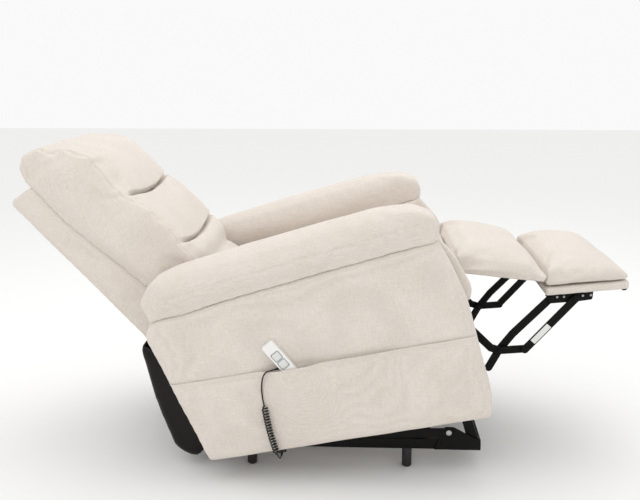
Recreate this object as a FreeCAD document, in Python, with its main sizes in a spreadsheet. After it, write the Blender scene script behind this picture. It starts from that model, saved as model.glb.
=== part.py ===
"""Power lift recliner chair, shown tipped back with its back reclined and its footrest out.

Millimetres. +X points to the footrest, +Y to the sitter's left and +Z up. The floor is z = 0.
The upholstered chair is laid out level and then tipped back as a whole on its steel lift base.
"""
import FreeCAD, Part
import math
import os
from FreeCAD import Placement, Rotation, Vector

SIZES = {
    # upholstered chair, laid out level
    "seat_space": 560.0, "inner_arm_width": 50.0, "panel_width": 85.0, "arm_overhang": 13.0,
    "body_length": 786.0, "body_floor_gap": 40.0, "arm_front_height": 561.0, "arm_rear_height": 467.0,
    "arm_pad_depth": 94.0, "seat_height": 475.0, "cushion_base": 386.0,
    "body_tilt": 10.5, "tilt_point_x": 92.8, "tilt_point_z": 96.7,
    # seat frame
    "board_thickness": 18.0, "side_board_height": 90.0, "cross_board_width": 20.0,
    "mech_plate_thickness": 4.0, "lift_plate_thickness": 5.0, "mech_inset": 30.0,
    "front_board_setback": 48.0, "spring_radius": 2.0, "spring_height": 372.0,
    # backrest
    "back_side_gap": 8.0, "cushion_side_gap": 15.0, "recline_u": -440.0, "recline_w": 330.0,
    "nose_radius": 265.0, "bracket_thickness": 4.0, "recline_pin_radius": 6.0,
    # footrest and its linkage
    "pad_side_gap": 18.0, "board_side_gap": 25.0, "foot_board_thickness": 25.0,
    "link_thickness": 5.0, "link_half_height": 11.0, "foot_bracket_thickness": 4.0,
    "drive_tube_radius": 12.0, "rivet_radius": 5.0, "rivet_head_radius": 8.0, "rivet_head": 2.0,
    "link_inset": 55.0, "open_pivot_gap": 2.0,
    # lift base
    "rail_size": 30.0, "tube_wall": 2.0, "rail_top": 90.0, "rail_rear": -235.0, "rail_front": 461.0,
    "rail_inset": 10.0, "upright_size": 28.0, "upright_lean": 20.0, "upright_height": 232.0,
    "foot_radius": 14.0, "foot_edge": 4.0, "front_foot_x": 251.0, "rear_foot_x": -200.0,
    "lift_arm_thickness": 6.0, "lift_arm_half_height": 13.0, "pivot_plate_thickness": 4.0,
    "lift_tube_radius": 16.0, "lift_pin_radius": 8.0, "running_gap": 0.05, "layer_gap": 2.0,
    "arm_washer": 1.0, "lift_tab_y": 22.0, "lift_tab_half_height": 15.0, "motor_ear_y": 26.0,
    "motor_radius": 32.0, "motor_case_length": 100.0, "motor_gap": 14.0,
    "eye_half_height": 14.0, "eye_thickness": 24.0, "eye_neck": 18.0,
    "actuator_tube_radius": 20.0, "actuator_rod_radius": 10.0, "tube_floor": 30.0,
    "rod_bottom_gap": 10.0, "tube_end_gap": 60.0,
    # handset and its lead
    "handset_width": 36.0, "handset_length": 146.0, "handset_thickness": 20.0,
    "handset_u": -124.5, "handset_w": 284.0, "handset_back_gap": 2.5,
    "handset_lean": -30.0, "handset_drop": 60.0, "button_size": 22.0, "button_gap": 0.4,
    "button_depth": 3.0, "button_proud": 1.2, "well_depth": 3.2,
    "button_up_from_top": 43.0, "button_down_from_top": 70.0,
    "lead_radius": 2.0, "coil_radius": 9.5, "pocket_cloth": 3.0, "pocket_slack": 8.0,
    "pocket_ease": 5.0, "pocket_mouth_height": 282.0, "pocket_depth": 180.0,
    "socket_length": 26.0, "socket_width": 30.0, "socket_height": 18.0, "socket_inset": 37.0,
}

doc = FreeCAD.newDocument("LiftRecliner")
sheet = doc.addObject("Spreadsheet::Sheet", "Sizes")
for row, (name, value) in enumerate(SIZES.items(), start=1):
    sheet.set(f"A{row}", name)
    sheet.set(f"B{row}", str(value))
    sheet.setAlias(f"B{row}", name)
doc.recompute()


def size(name):
    """A driving dimension, read back from the sheet."""
    return float(getattr(sheet, name))


def shift(x, y, z):
    return Placement(Vector(x, y, z), Rotation())


WORLD = Placement()
TILT = Placement(Vector(size("tilt_point_x"), 0, size("tilt_point_z")),
                 Rotation(Vector(0, 1, 0), -size("body_tilt")))
SIDES = (("left", 1), ("right", -1))
ALONG_Y = Rotation(Vector(1, 0, 0), -90)
nodes = []


def node(label, item):
    """Gives a finished sub-part its name and puts it on the list that is exported."""
    item.Label = label
    nodes.append(item)
    return item


def outline(corners):
    """Closed outline in a plane. A corner is (a, b), or (a, b, radius) where it is rounded."""
    points = [Vector(c[0], c[1], 0) for c in corners]
    starts, ends, arcs = [], [], []
    for i, corner in enumerate(corners):
        here, before, after = points[i], points[i - 1], points[(i + 1) % len(points)]
        radius = corner[2] if len(corner) > 2 else 0
        if not radius:
            starts.append(here)
            ends.append(here)
            arcs.append(None)
            continue
        to_before = (before - here).normalize()
        to_after = (after - here).normalize()
        half = to_before.getAngle(to_after) / 2
        reach = radius / math.tan(half)
        first, last = here + to_before * reach, here + to_after * reach
        middle = (to_before + to_after).normalize()
        centre = here + middle * (radius / math.sin(half))
        starts.append(first)
        ends.append(last)
        arcs.append(Part.Arc(first, centre - middle * radius, last))
    edges = []
    for i, arc in enumerate(arcs):
        if arc:
            edges.append(arc)
        following = starts[(i + 1) % len(points)]
        if (following - ends[i]).Length > 1e-6:
            edges.append(Part.LineSegment(ends[i], following))
    return edges


def pad(label, plane, outlines, length, place, holes=()):
    """A Body with one sketch padded by a sheet value. XZ pads run to -Y, YZ to +X, XY to +Z."""
    body = doc.addObject("PartDesign::Body", label)
    sketch = body.newObject("Sketcher::SketchObject", label + "_sketch")
    origin = next(f for f in body.Origin.OriginFeatures if f.Role == plane)
    sketch.AttachmentSupport = [(origin, "")]
    sketch.MapMode = "FlatFace"
    for corners in outlines:
        for edge in outline(corners):
            sketch.addGeometry(edge)
    for a, b, radius in holes:
        sketch.addGeometry(Part.Circle(Vector(a, b, 0), Vector(0, 0, 1), radius))
    solid = body.newObject("PartDesign::Pad", label + "_pad")
    solid.Profile = sketch
    solid.setExpression("Length", length)
    sketch.Visibility = False
    body.Placement = place
    return body


def slab(label, corners, thickness, y_mid, place, holes=()):
    """A flat piece standing in the chair's XZ plane, its thickness centred on y_mid."""
    half = sheet_value(thickness) / 2
    return pad(label, "XZ_Plane", [corners], thickness, place * shift(0, y_mid + half, 0), holes)


def sheet_value(expression):
    """The number that a sum or product of sheet values comes to."""
    names = {name: size(name) for name in SIZES}
    total = 0.0
    for term in expression.replace(" ", "").replace("-", "+-").split("+"):
        sign = -1 if term.startswith("-") else 1
        product = sign
        for factor in term.lstrip("-").split("*"):
            product *= names[factor[6:]] if factor.startswith("Sizes.") else float(factor)
        total += product
    return total


def rod(label, radius, x, z, y_from, y_to, place):
    """A round bar lying along Y."""
    bar = doc.addObject("Part::Cylinder", label)
    bar.setExpression("Radius", radius)
    bar.Height = y_to - y_from
    bar.Placement = place * Placement(Vector(x, y_from, z), ALONG_Y)
    return bar


def fuse(label, members):
    joined = doc.addObject("Part::MultiFuse", label)
    joined.Shapes = members
    return joined


def cut(label, base, tool):
    left = doc.addObject("Part::Cut", label)
    left.Base = base
    left.Tool = tool
    return left


def group(label, members):
    """Separate solids that share one node."""
    gathered = doc.addObject("Part::Compound", label)
    gathered.Links = members
    return gathered


def square(half, wall=0.0):
    inner = half - wall
    return [(-inner, -inner), (inner, -inner), (inner, inner), (-inner, inner)]


def link(points, half):
    """Outline of a flat bar with full round ends that follows a bent centre line."""
    def normal(a, b):
        step = math.hypot(b[0] - a[0], b[1] - a[1])
        return (a[1] - b[1]) / step, (b[0] - a[0]) / step

    def mitre(before, here, after):
        n1, n2 = normal(before, here), normal(here, after)
        scale = half / (1 + n1[0] * n2[0] + n1[1] * n2[1])
        return (n1[0] + n2[0]) * scale, (n1[1] + n2[1]) * scale

    last = len(points) - 1
    offsets = []
    for i, here in enumerate(points):
        if i == 0:
            n = normal(points[0], points[1])
            offsets.append((n[0] * half, n[1] * half))
        elif i == last:
            n = normal(points[-2], points[-1])
            offsets.append((n[0] * half, n[1] * half))
        else:
            offsets.append(mitre(points[i - 1], here, points[i + 1]))
    round_end = half * 0.999

    def beyond(end, inner):
        step = math.hypot(end[0] - inner[0], end[1] - inner[1])
        return ((end[0] - inner[0]) / step * half, (end[1] - inner[1]) / step * half)

    first_out, last_out = beyond(points[0], points[1]), beyond(points[-1], points[-2])
    upper, lower = [], []
    for i, (here, off) in enumerate(zip(points, offsets)):
        out = first_out if i == 0 else last_out if i == last else (0, 0)
        radius = (round_end,) if i in (0, last) else ()
        upper.append((here[0] + off[0] + out[0], here[1] + off[1] + out[1]) + radius)
        lower.append((here[0] - off[0] + out[0], here[1] - off[1] + out[1]) + radius)
    return upper + lower[::-1]


# ---------------------------------------------------------------- places shared by many pieces
half_seat = size("seat_space") / 2
panel_inner = half_seat + size("inner_arm_width")
panel_outer = panel_inner + size("panel_width")
front = size("body_length") / 2
rear = -front
floor_gap = size("body_floor_gap")
arm_front = size("arm_front_height")
arm_rear = size("arm_rear_height")
pad_rise = size("arm_pad_depth")
base_w = size("cushion_base")
seat_top = size("seat_height")
gap = size("running_gap")
layer = size("layer_gap")

# steel layers, outwards from the centre plane
long_link_y = half_seat - size("link_inset")
drive_link_y = long_link_y + size("link_thickness") + layer
short_link_y = drive_link_y + size("link_thickness") + layer
mech_plate_y = half_seat - size("mech_inset")
rail_y = half_seat - size("rail_inset")
rail_half = size("rail_size") / 2
plate_t = size("pivot_plate_thickness")
arm_t = size("lift_arm_thickness")
pivot_plate_y = rail_y + rail_half + plate_t / 2
lift_arm_y = rail_y + rail_half + plate_t + size("arm_washer") + arm_t / 2
upper_link_y = lift_arm_y + arm_t + layer
side_board_y = panel_inner - size("board_thickness") / 2
side_board_inner = panel_inner - size("board_thickness")
lift_plate_y = side_board_inner - size("lift_plate_thickness") / 2

# lift linkage pivots on the floor frame (x, z); the far ends are on the chair
lower_pivot = (368.0, 115.0)
upper_pivot = (404.1, 190.0)
lower_chair_pivot = (11.8, 105.0)
upper_chair_pivot = (150.0, 300.0)

# footrest linkage pivots on the level chair (u, w)
drive_pivot = (front - 77.8, 340.0)
cross_pivot = (front + 63.5, 166.0)
hook_pivot = (front + 133.7, 158.9)
long_top_pivot = (front + 228.0, 293.0)
short_top_pivot = (front + 293.8, 284.3)


def level(point):
    """A floor-frame point (x, z) as it lies on the level chair (u, w)."""
    flat = TILT.inverse().multVec(Vector(point[0], 0, point[1]))
    return flat.x, flat.z


# ---------------------------------------------------------------- floor frame of the lift base
rail_bottom = size("rail_top") - size("rail_size")
rail_mid = size("rail_top") - rail_half
wall = size("tube_wall")
rail_length = "Sizes.rail_front - Sizes.rail_rear"
for side, sign in SIDES:
    rail = pad(f"rail_{side}", "YZ_Plane", [square(rail_half), square(rail_half, wall)], rail_length,
               shift(size("rail_rear"), sign * rail_y, rail_mid))
    node(f"base_rail_{side}", rail)

cross_length = "Sizes.seat_space - 2*Sizes.rail_inset - Sizes.rail_size"
cross_shift = sheet_value(cross_length) / 2
tube_end_x = {"front": size("rail_front") - rail_half, "rear": size("rear_foot_x")}
for end, x in tube_end_x.items():
    tube = pad(f"cross_{end}", "XZ_Plane", [square(rail_half), square(rail_half, wall)], cross_length,
               shift(x, cross_shift, rail_mid))
    node(f"base_{end}_tube", tube)

upright_half = size("upright_size") / 2
lean = math.radians(size("upright_lean"))
upright_foot_x = size("rail_front") - rail_half
trim_reach = 100.0  # the blocks that trim the post's ends are only larger than the post
for side, sign in SIDES:
    post = pad(f"post_{side}", "XY_Plane", [square(upright_half), square(upright_half, wall)],
               "Sizes.upright_height", Placement(Vector(upright_foot_x, sign * rail_y, rail_mid),
                                                 Rotation(Vector(0, 1, 0), -size("upright_lean"))))
    block = doc.addObject("Part::Box", f"post_foot_{side}")
    block.Length = 2 * trim_reach
    block.Width = trim_reach
    block.Height = size("rail_top")
    block.Placement = shift(upright_foot_x - trim_reach, sign * rail_y - trim_reach / 2, 0)
    trimmed = cut(f"post_trim_{side}", post, block)
    top = doc.addObject("Part::Box", f"post_top_{side}")
    top.Length = 3 * trim_reach
    top.Width = trim_reach
    top.Height = 2 * trim_reach
    top.Placement = shift(upright_foot_x - 2 * trim_reach, sign * rail_y - trim_reach / 2,
                          size("upright_height"))
    node(f"base_upright_{side}", cut(f"post_cut_{side}", trimmed, top))

plates = []
for side, sign in SIDES:
    corners = [(lower_pivot[0] - 40, rail_bottom), (size("rail_front"), rail_bottom),
               (size("rail_front"), rail_bottom + 26, 6), (lower_pivot[0] + 15, lower_pivot[1] + 14, 14),
               (lower_pivot[0] - 15, lower_pivot[1] + 14, 14)]
    plates.append(slab(f"pivot_plate_{side}", corners, "Sizes.pivot_plate_thickness",
                       sign * pivot_plate_y, WORLD,
                       [(lower_pivot[0], lower_pivot[1], size("lift_pin_radius"))]))
node("base_pivot_plates", group("pivot_plate_pair", plates))

feet = []
for side, sign in SIDES:
    for end in ("front", "rear"):
        foot = doc.addObject("Part::Cylinder", f"foot_{end}_{side}")
        foot.setExpression("Radius", "Sizes.foot_radius")
        foot.setExpression("Height", "Sizes.rail_top - Sizes.rail_size")
        foot.Placement = shift(size(f"{end}_foot_x"), sign * rail_y, 0)
        edge = doc.addObject("Part::Chamfer", f"foot_edge_{end}_{side}")
        edge.Base = foot
        doc.recompute()
        bottom = [i + 1 for i, e in enumerate(foot.Shape.Edges)
                  if abs(e.BoundBox.ZMax) < 1e-6 and e.BoundBox.XLength > 1]
        edge.Edges = [(i, size("foot_edge"), size("foot_edge")) for i in bottom]
        feet.append(edge)
node("base_feet", group("feet", feet))

pins = []
for side, sign in SIDES:
    near = rail_y + rail_half
    spans = [(lower_pivot, near, lift_arm_y + arm_t / 2 + size("arm_washer")),
             (upper_pivot, rail_y + upright_half, upper_link_y + arm_t / 2 + size("arm_washer"))]
    for i, (place, start, stop) in enumerate(spans):
        low, high = sorted((sign * start, sign * stop))
        pins.append(rod(f"base_pin_{side}_{i}", "Sizes.lift_pin_radius", place[0], place[1], low, high,
                        WORLD))
node("base_pins", group("base_pin_set", pins))

motor_pivot = (-227.6, 105.8)
bracket_ears = []
for i, y in enumerate((-size("motor_ear_y"), size("motor_ear_y"))):
    ear = [(motor_pivot[0] - 16, motor_pivot[1] + 16, 12), (motor_pivot[0] - 16, rail_bottom + 10, 5),
           (size("rear_foot_x") - rail_half, rail_bottom + 4),
           (size("rear_foot_x") - rail_half, size("rail_top")),
           (motor_pivot[0] + 16, motor_pivot[1] + 16, 12)]
    bracket_ears.append(slab(f"motor_ear_{i}", ear, "Sizes.pivot_plate_thickness", y, WORLD,
                             [(motor_pivot[0], motor_pivot[1], size("lift_pin_radius"))]))
motor_pin_reach = size("motor_ear_y") + plate_t / 2
bracket_ears.append(rod("motor_pin", "Sizes.lift_pin_radius", motor_pivot[0], motor_pivot[1],
                        -motor_pin_reach, motor_pin_reach, WORLD))
node("motor_bracket", fuse("motor_bracket_all", bracket_ears))

# ---------------------------------------------------------------- lift arms, links and actuator
pin_hole = size("lift_pin_radius") + gap
for side, sign in SIDES:
    bar = slab(f"arm_bar_{side}", link([lower_pivot, lower_chair_pivot], size("lift_arm_half_height")),
               "Sizes.lift_arm_thickness", sign * lift_arm_y, WORLD,
               [(lower_pivot[0], lower_pivot[1], pin_hole),
                (lower_chair_pivot[0], lower_chair_pivot[1], size("lift_pin_radius"))])
    node(f"lift_arm_{side}", bar)

lift_tube = (300.0, 117.0)
tab_tip = (259.8, 121.5)
tube_reach = lift_arm_y - arm_t / 2
members = [rod("lift_tube_bar", "Sizes.lift_tube_radius", lift_tube[0], lift_tube[1],
               -tube_reach, tube_reach, WORLD)]
for i, y in enumerate((-size("lift_tab_y"), size("lift_tab_y"))):
    members.append(slab(f"lift_tab_{i}", link([lift_tube, tab_tip], size("lift_tab_half_height")),
                        "Sizes.lift_arm_thickness", y, WORLD,
                        [(tab_tip[0], tab_tip[1], size("lift_pin_radius"))]))
node("lift_cross_tube", fuse("lift_tube_all", members))

pins = []
for side, sign in SIDES:
    low, high = sorted((sign * (lift_arm_y - arm_t / 2), sign * (side_board_inner - 0.5)))
    pins.append(rod(f"arm_pin_{side}", "Sizes.lift_pin_radius", lower_chair_pivot[0], lower_chair_pivot[1],
                    low, high, WORLD))
node("lift_arm_pins", group("arm_pin_set", pins))

for side, sign in SIDES:
    bar = slab(f"upper_bar_{side}", link([upper_pivot, upper_chair_pivot], size("lift_arm_half_height")),
               "Sizes.lift_arm_thickness", sign * upper_link_y, WORLD,
               [(upper_pivot[0], upper_pivot[1], pin_hole),
                (upper_chair_pivot[0], upper_chair_pivot[1], pin_hole)])
    node(f"upper_link_{side}", bar)

reach = math.hypot(tab_tip[0] - motor_pivot[0], tab_tip[1] - motor_pivot[1])
aim = math.degrees(math.atan2(tab_tip[1] - motor_pivot[1], tab_tip[0] - motor_pivot[0]))
AXIS = Placement(Vector(motor_pivot[0], 0, motor_pivot[1]), Rotation(Vector(0, 1, 0), -aim))
ALONG_X = Rotation(Vector(0, 1, 0), 90)


def stage(label, radius, start, stop):
    """A round length of the actuator, measured from its rear pivot."""
    part = doc.addObject("Part::Cylinder", label)
    part.setExpression("Radius", radius)
    part.Height = stop - start
    part.Placement = AXIS * Placement(Vector(start, 0, 0), ALONG_X)
    return part


def eye(label, at, inwards, hole):
    """Flattened end of the actuator with its cross hole, running on into the actuator."""
    return slab(label, link([(at, 0), (at + inwards, 0)], size("eye_half_height")), "Sizes.eye_thickness",
                0, AXIS, [(at, 0, hole)])


case_start = size("rear_foot_x") + rail_half + size("motor_gap") - motor_pivot[0]
case_end = case_start + size("motor_case_length")
tube_end = reach - size("tube_end_gap")
bore_start = case_end + size("tube_floor")
motor_body = fuse("motor_parts", [eye("motor_eye", 0, case_start, pin_hole),
                                  stage("motor_case", "Sizes.motor_radius", case_start, case_end)])
node("lift_motor", motor_body)
outer = stage("outer_tube", "Sizes.actuator_tube_radius", case_end, tube_end)
bore = stage("outer_bore", "Sizes.actuator_rod_radius + Sizes.running_gap", bore_start, tube_end + 1)
node("lift_motor_tube", cut("outer_tube_cut", outer, bore))
rod_bar = stage("rod_bar", "Sizes.actuator_rod_radius", bore_start + size("rod_bottom_gap"),
                reach - size("actuator_rod_radius"))
rod_eye = eye("rod_eye", reach, -size("eye_neck"), size("lift_pin_radius") + size("open_pivot_gap"))
node("lift_rod", fuse("rod_parts", [rod_bar, rod_eye]))

# ---------------------------------------------------------------- upholstered sides and arms
seam = [(front - 78, arm_front), (front - 90, arm_front - 9), (front - 224, arm_front - 23),
        (front - 423, arm_front - 44), (front - 604, arm_front - 64), (rear + 44, arm_rear + 9),
        (rear - 75, arm_rear - 1)]
front_edge = [(front, floor_gap), (front + 10, floor_gap + 54, 40), (front + 9, floor_gap + 112),
              (front - 3, floor_gap + 213), (front - 19, floor_gap + 342), (front - 48, floor_gap + 443)]
rear_edge = [(rear - 104, arm_rear - 42, 8), (rear - 53, arm_rear - 230)]
side_shape = [(rear, floor_gap, 12)] + front_edge + seam + rear_edge
panel_mid = panel_inner + size("panel_width") / 2
for side, sign in SIDES:
    node(f"side_panel_{side}", slab(f"panel_{side}", side_shape, "Sizes.panel_width", sign * panel_mid, TILT))

inner_base = size("recline_w") + 15
inner_shape = [(rear - 77, inner_base), (front - 8, inner_base)] + front_edge[4:] + seam
inner_arms = [slab(f"inner_{side}", inner_shape, "Sizes.inner_arm_width",
                   sign * (half_seat + size("inner_arm_width") / 2), TILT) for side, sign in SIDES]
node("inner_arm_panels", group("inner_arm_pair", inner_arms))

pad_shape = seam + [(rear - 108, arm_rear + 52, 12), (rear - 70, arm_rear + 98, 30),
                    (rear - 58, arm_rear + 112), (rear + 39, arm_front + 34), (front - 404, arm_front + 74),
                    (front - 172, arm_front + pad_rise + 3), (front - 122, arm_front + pad_rise - 3, 20),
                    (front - 75, arm_front + 62, 25), (front - 62, arm_front + 22, 20)]
arm_pad_width = "Sizes.inner_arm_width + Sizes.panel_width + Sizes.arm_overhang + 2"
pad_mid = (half_seat - 2 + panel_outer + size("arm_overhang")) / 2
for side, sign in SIDES:
    node(f"arm_pad_{side}", slab(f"arm_{side}", pad_shape, arm_pad_width, sign * pad_mid, TILT))

# ---------------------------------------------------------------- seat frame
board_top = base_w - 2
side_board_w = size("recline_w") - size("side_board_height")
side_board_shape = [(rear - 36, side_board_w), (front - 28, side_board_w), (front - 28, size("recline_w")),
                    (rear - 71, size("recline_w") + 12)]
side_boards = [slab(f"board_{side}", side_board_shape, "Sizes.board_thickness", sign * side_board_y, TILT)
               for side, sign in SIDES]
node("side_boards", group("side_board_pair", side_boards))

low_c, high_c = level(lower_chair_pivot), level(upper_chair_pivot)
lift_shape = [(low_c[0] - 14, low_c[1] - 14, 12), (low_c[0] + 16, low_c[1] - 14, 12), (low_c[0] + 40, 70),
              (high_c[0] + 20, high_c[1] - 20, 12), (high_c[0] + 30, 325), (low_c[0] - 60, 325)]
lift_plates = [slab(f"lift_plate_{side}", lift_shape, "Sizes.lift_plate_thickness", sign * lift_plate_y, TILT,
                    [(low_c[0], low_c[1], pin_hole)]) for side, sign in SIDES]
node("lift_plates", group("lift_plate_pair", lift_plates))

board_length = "Sizes.seat_space"
board_reach = sheet_value(board_length) / 2
board_w = size("cross_board_width")
front_board_u = front - size("front_board_setback")
rear_board_u = size("recline_u") + size("nose_radius") + 10
front_board_w = size("recline_w") + 26
rear_board_w = inner_base
for end, u, low in (("front", front_board_u, front_board_w), ("rear", rear_board_u, rear_board_w)):
    corners = [(u, low), (u + board_w, low), (u + board_w, board_top), (u, board_top)]
    node(f"{end}_board", pad(f"seat_{end}_board", "XZ_Plane", [corners], board_length,
                             TILT * shift(0, board_reach, 0)))

mech_shape = [(rear_board_u + board_w, rear_board_w), (drive_pivot[0] - 60, drive_pivot[1] - 22, 20),
              (drive_pivot[0] + 22, drive_pivot[1] - 22, 16), (front_board_u, front_board_w),
              (front_board_u, board_top),
              (rear_board_u + board_w, board_top)]
mech_hole = (drive_pivot[0], drive_pivot[1], size("drive_tube_radius") + gap)
mech_plates = [slab(f"mech_{side}", mech_shape, "Sizes.mech_plate_thickness", sign * mech_plate_y, TILT,
                    [mech_hole]) for side, sign in SIDES]
node("mechanism_plates", group("mech_pair", mech_plates))

springs = []
spring_spacing = half_seat * 0.38
for i in range(-2, 3):
    wire = doc.addObject("Part::Cylinder", f"spring_{i + 2}")
    wire.setExpression("Radius", "Sizes.spring_radius")
    wire.Height = front_board_u - rear_board_u - board_w
    wire.Placement = TILT * Placement(Vector(rear_board_u + board_w, i * spring_spacing, size("spring_height")),
                                      ALONG_X)
    springs.append(wire)
node("seat_springs", group("spring_set", springs))

nose = size("nose_radius") + 3


def on_nose(w, radius):
    return size("recline_u") + math.sqrt(radius ** 2 - (w - size("recline_w")) ** 2), w


seat_shape = [on_nose(base_w, nose), (front - 23, base_w, 12), (front - 9, base_w + 20, 12),
              (front - 7, base_w + 48, 20), (front - 16, seat_top - 6, 20), (front - 100, seat_top + 4),
              (0, seat_top + 3), on_nose(seat_top - 4, nose), on_nose(seat_top - 45, nose + 1)]
cushion = slab("seat_pad", seat_shape, "Sizes.seat_space - 6", 0, TILT)
node("seat_cushion", cushion)

# ---------------------------------------------------------------- dust cover behind the seat
cover_shape = [(rear - 150, arm_rear - 84), (rear - 152, arm_rear - 116, 30), (rear - 142, arm_rear - 277),
               (rear - 118, floor_gap + 14, 40), (rear - 83, floor_gap - 16, 20), (rear - 56, floor_gap - 25),
               (rear - 52, floor_gap - 19), (rear - 80, floor_gap - 10, 16), (rear - 112, floor_gap + 16, 36),
               (rear - 136, arm_rear - 277), (rear - 146, arm_rear - 116, 26), (rear - 145, arm_rear - 86)]
cover_side = [(rear - 147, arm_rear - 85), (rear - 149, arm_rear - 116, 26), (rear - 139, arm_rear - 277),
              (rear - 115, floor_gap + 14, 38), (rear - 82, floor_gap - 14, 18), (rear - 56, floor_gap - 22),
              (rear - 10, floor_gap + 8), (rear - 24, arm_rear - 230), (rear - 80, arm_rear - 124)]
cover_parts = [pad("cover_back", "XZ_Plane", [cover_shape],
                   "Sizes.seat_space + 2*Sizes.inner_arm_width - 2*Sizes.board_thickness",
                   TILT * shift(0, side_board_inner, 0))]
for side, sign in SIDES:
    cover_parts.append(slab(f"cover_{side}", cover_side, "Sizes.bracket_thickness",
                            sign * (side_board_inner - size("bracket_thickness") / 2), TILT))
node("rear_cover", fuse("cover_all", cover_parts))

# ---------------------------------------------------------------- backrest
pivot = (size("recline_u"), size("recline_w"))
back_width = "Sizes.seat_space - 2*Sizes.back_side_gap"
cushion_width = "Sizes.seat_space - 2*Sizes.cushion_side_gap"
frame_shape = [(-828, 834, 10), (-535, 385, 20), (-505, 300, 15), (-420, 292, 20), (-400, 320),
               (-398, 415), (-440, 466), (-507, 545), (-598, 652), (-683, 753), (-753, 868, 10)]
node("back_frame", slab("back_shell", frame_shape, back_width, 0, TILT))
head_shape = [(-752, 868), (-779, 876, 10), (-780, 925, 20), (-752, 976, 25), (-701, 993, 20),
              (-611, 983, 40), (-547, 950, 40), (-501, 884, 40), (-460, 819, 8), (-637, 700), (-682, 754)]
middle_shape = [(-636.5, 699), (-458, 815, 8), (-412, 784, 30), (-372, 725, 30), (-340, 663, 8),
                (-506.5, 546), (-597, 653)]
start = math.radians(60.0)
stop = math.radians(-4.0)
nose_r = size("nose_radius")
nose_points = []
for i in range(13):
    angle = start + (stop - start) * i / 12
    nose_points.append((pivot[0] + nose_r * math.cos(angle), pivot[1] + nose_r * math.sin(angle)))
lower_shape = [(-506, 545), (-339.5, 661, 8), (-303, 606, 25)] + nose_points + [
    (-394, 322), (-396, 416), (-439, 467)]
for name, shape in (("head", head_shape), ("middle", middle_shape), ("lower", lower_shape)):
    node(f"{name}_cushion", slab(f"{name}_pad", shape, cushion_width, 0, TILT))

brackets, pins = [], []
bracket_t = size("bracket_thickness")
back_half = sheet_value(back_width) / 2
for side, sign in SIDES:
    corners = [(pivot[0] - 14, pivot[1] - 14, 12), (pivot[0] + 14, pivot[1] - 14, 12),
               (pivot[0] + 18, pivot[1] + 60, 8), (pivot[0] - 40, pivot[1] + 150, 8),
               (pivot[0] - 70, pivot[1] + 130, 8), (pivot[0] - 18, pivot[1] + 50)]
    brackets.append(slab(f"recline_bracket_{side}", corners, "Sizes.bracket_thickness",
                         sign * (back_half + bracket_t / 2), TILT,
                         [(pivot[0], pivot[1], size("recline_pin_radius") + gap)]))
    low, high = sorted((sign * (back_half + 0.5), sign * side_board_inner))
    pins.append(rod(f"recline_pin_{side}", "Sizes.recline_pin_radius", pivot[0], pivot[1], low, high, TILT))
node("recline_brackets", group("recline_bracket_pair", brackets))
node("recline_pins", group("recline_pin_pair", pins))

# ---------------------------------------------------------------- footrest
pad_width = "Sizes.seat_space - 2*Sizes.pad_side_gap"
board_width = "Sizes.seat_space - 2*Sizes.board_side_gap"
calf_shape = [(front - 5, 411, 4), (front + 210, 348.5, 4), (front + 219, 371, 8), (front + 175, 413),
              (front + 116, 437), (front + 10, 472, 12), (front - 5, 470, 8)]
node("calf_pad", slab("calf_cushion", calf_shape, pad_width, 0, TILT))
board_rear, board_front = (front + 213, 333), (front + 443, 314)
board_t = size("foot_board_thickness")
drop_u, drop_w = board_t * 0.0823, board_t * 0.9966
board_shape = [board_rear, board_front, (board_front[0] - drop_u, board_front[1] - drop_w),
               (board_rear[0] - drop_u, board_rear[1] - drop_w)]
node("foot_board", pad("footboard", "XZ_Plane", [board_shape], board_width,
                       TILT * shift(0, sheet_value(board_width) / 2, 0)))
foot_shape = [(front + 215, 333.4), (front + 443, 314.6), (front + 448, 330, 6), (front + 425, 355, 10),
              (front + 392, 369), (front + 309, 382), (front + 259, 384), (front + 230, 377, 8)]
node("foot_pad", slab("foot_cushion", foot_shape, pad_width, 0, TILT))

half_link = size("link_half_height")
rivet = size("rivet_radius")
open_hole = rivet + size("open_pivot_gap")
for side, sign in SIDES:
    corners = [(front + 212, 307), (front + 346, 296.5), (front + 340, 272, 6), (front + 300, 273, 6),
               (front + 222, 280, 8)]
    node(f"foot_bracket_{side}",
         slab(f"bracket_{side}", corners, "Sizes.foot_bracket_thickness", sign * drive_link_y, TILT,
              [(long_top_pivot[0], long_top_pivot[1], rivet), (short_top_pivot[0], short_top_pivot[1], rivet)]))
for side, sign in SIDES:
    drive_line = [drive_pivot, (front - 10, 245.0), (front + 40, 178.0), cross_pivot, hook_pivot]
    node(f"drive_link_{side}",
         slab(f"drive_{side}", link(drive_line, half_link), "Sizes.link_thickness", sign * drive_link_y, TILT,
              [(cross_pivot[0], cross_pivot[1], rivet), (hook_pivot[0], hook_pivot[1], rivet)]))
    long_line = [(front + 26, 118.0), cross_pivot, (front + 108, 207.0), long_top_pivot]
    node(f"long_link_{side}",
         slab(f"long_{side}", link(long_line, half_link), "Sizes.link_thickness", sign * long_link_y, TILT,
              [(cross_pivot[0], cross_pivot[1], rivet + gap),
               (long_top_pivot[0], long_top_pivot[1], rivet + gap)]))
    node(f"short_link_{side}",
         slab(f"short_{side}", link([hook_pivot, short_top_pivot], half_link), "Sizes.link_thickness",
              sign * short_link_y, TILT,
              [(hook_pivot[0], hook_pivot[1], rivet + gap),
               (short_top_pivot[0], short_top_pivot[1], open_hole)]))

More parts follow.
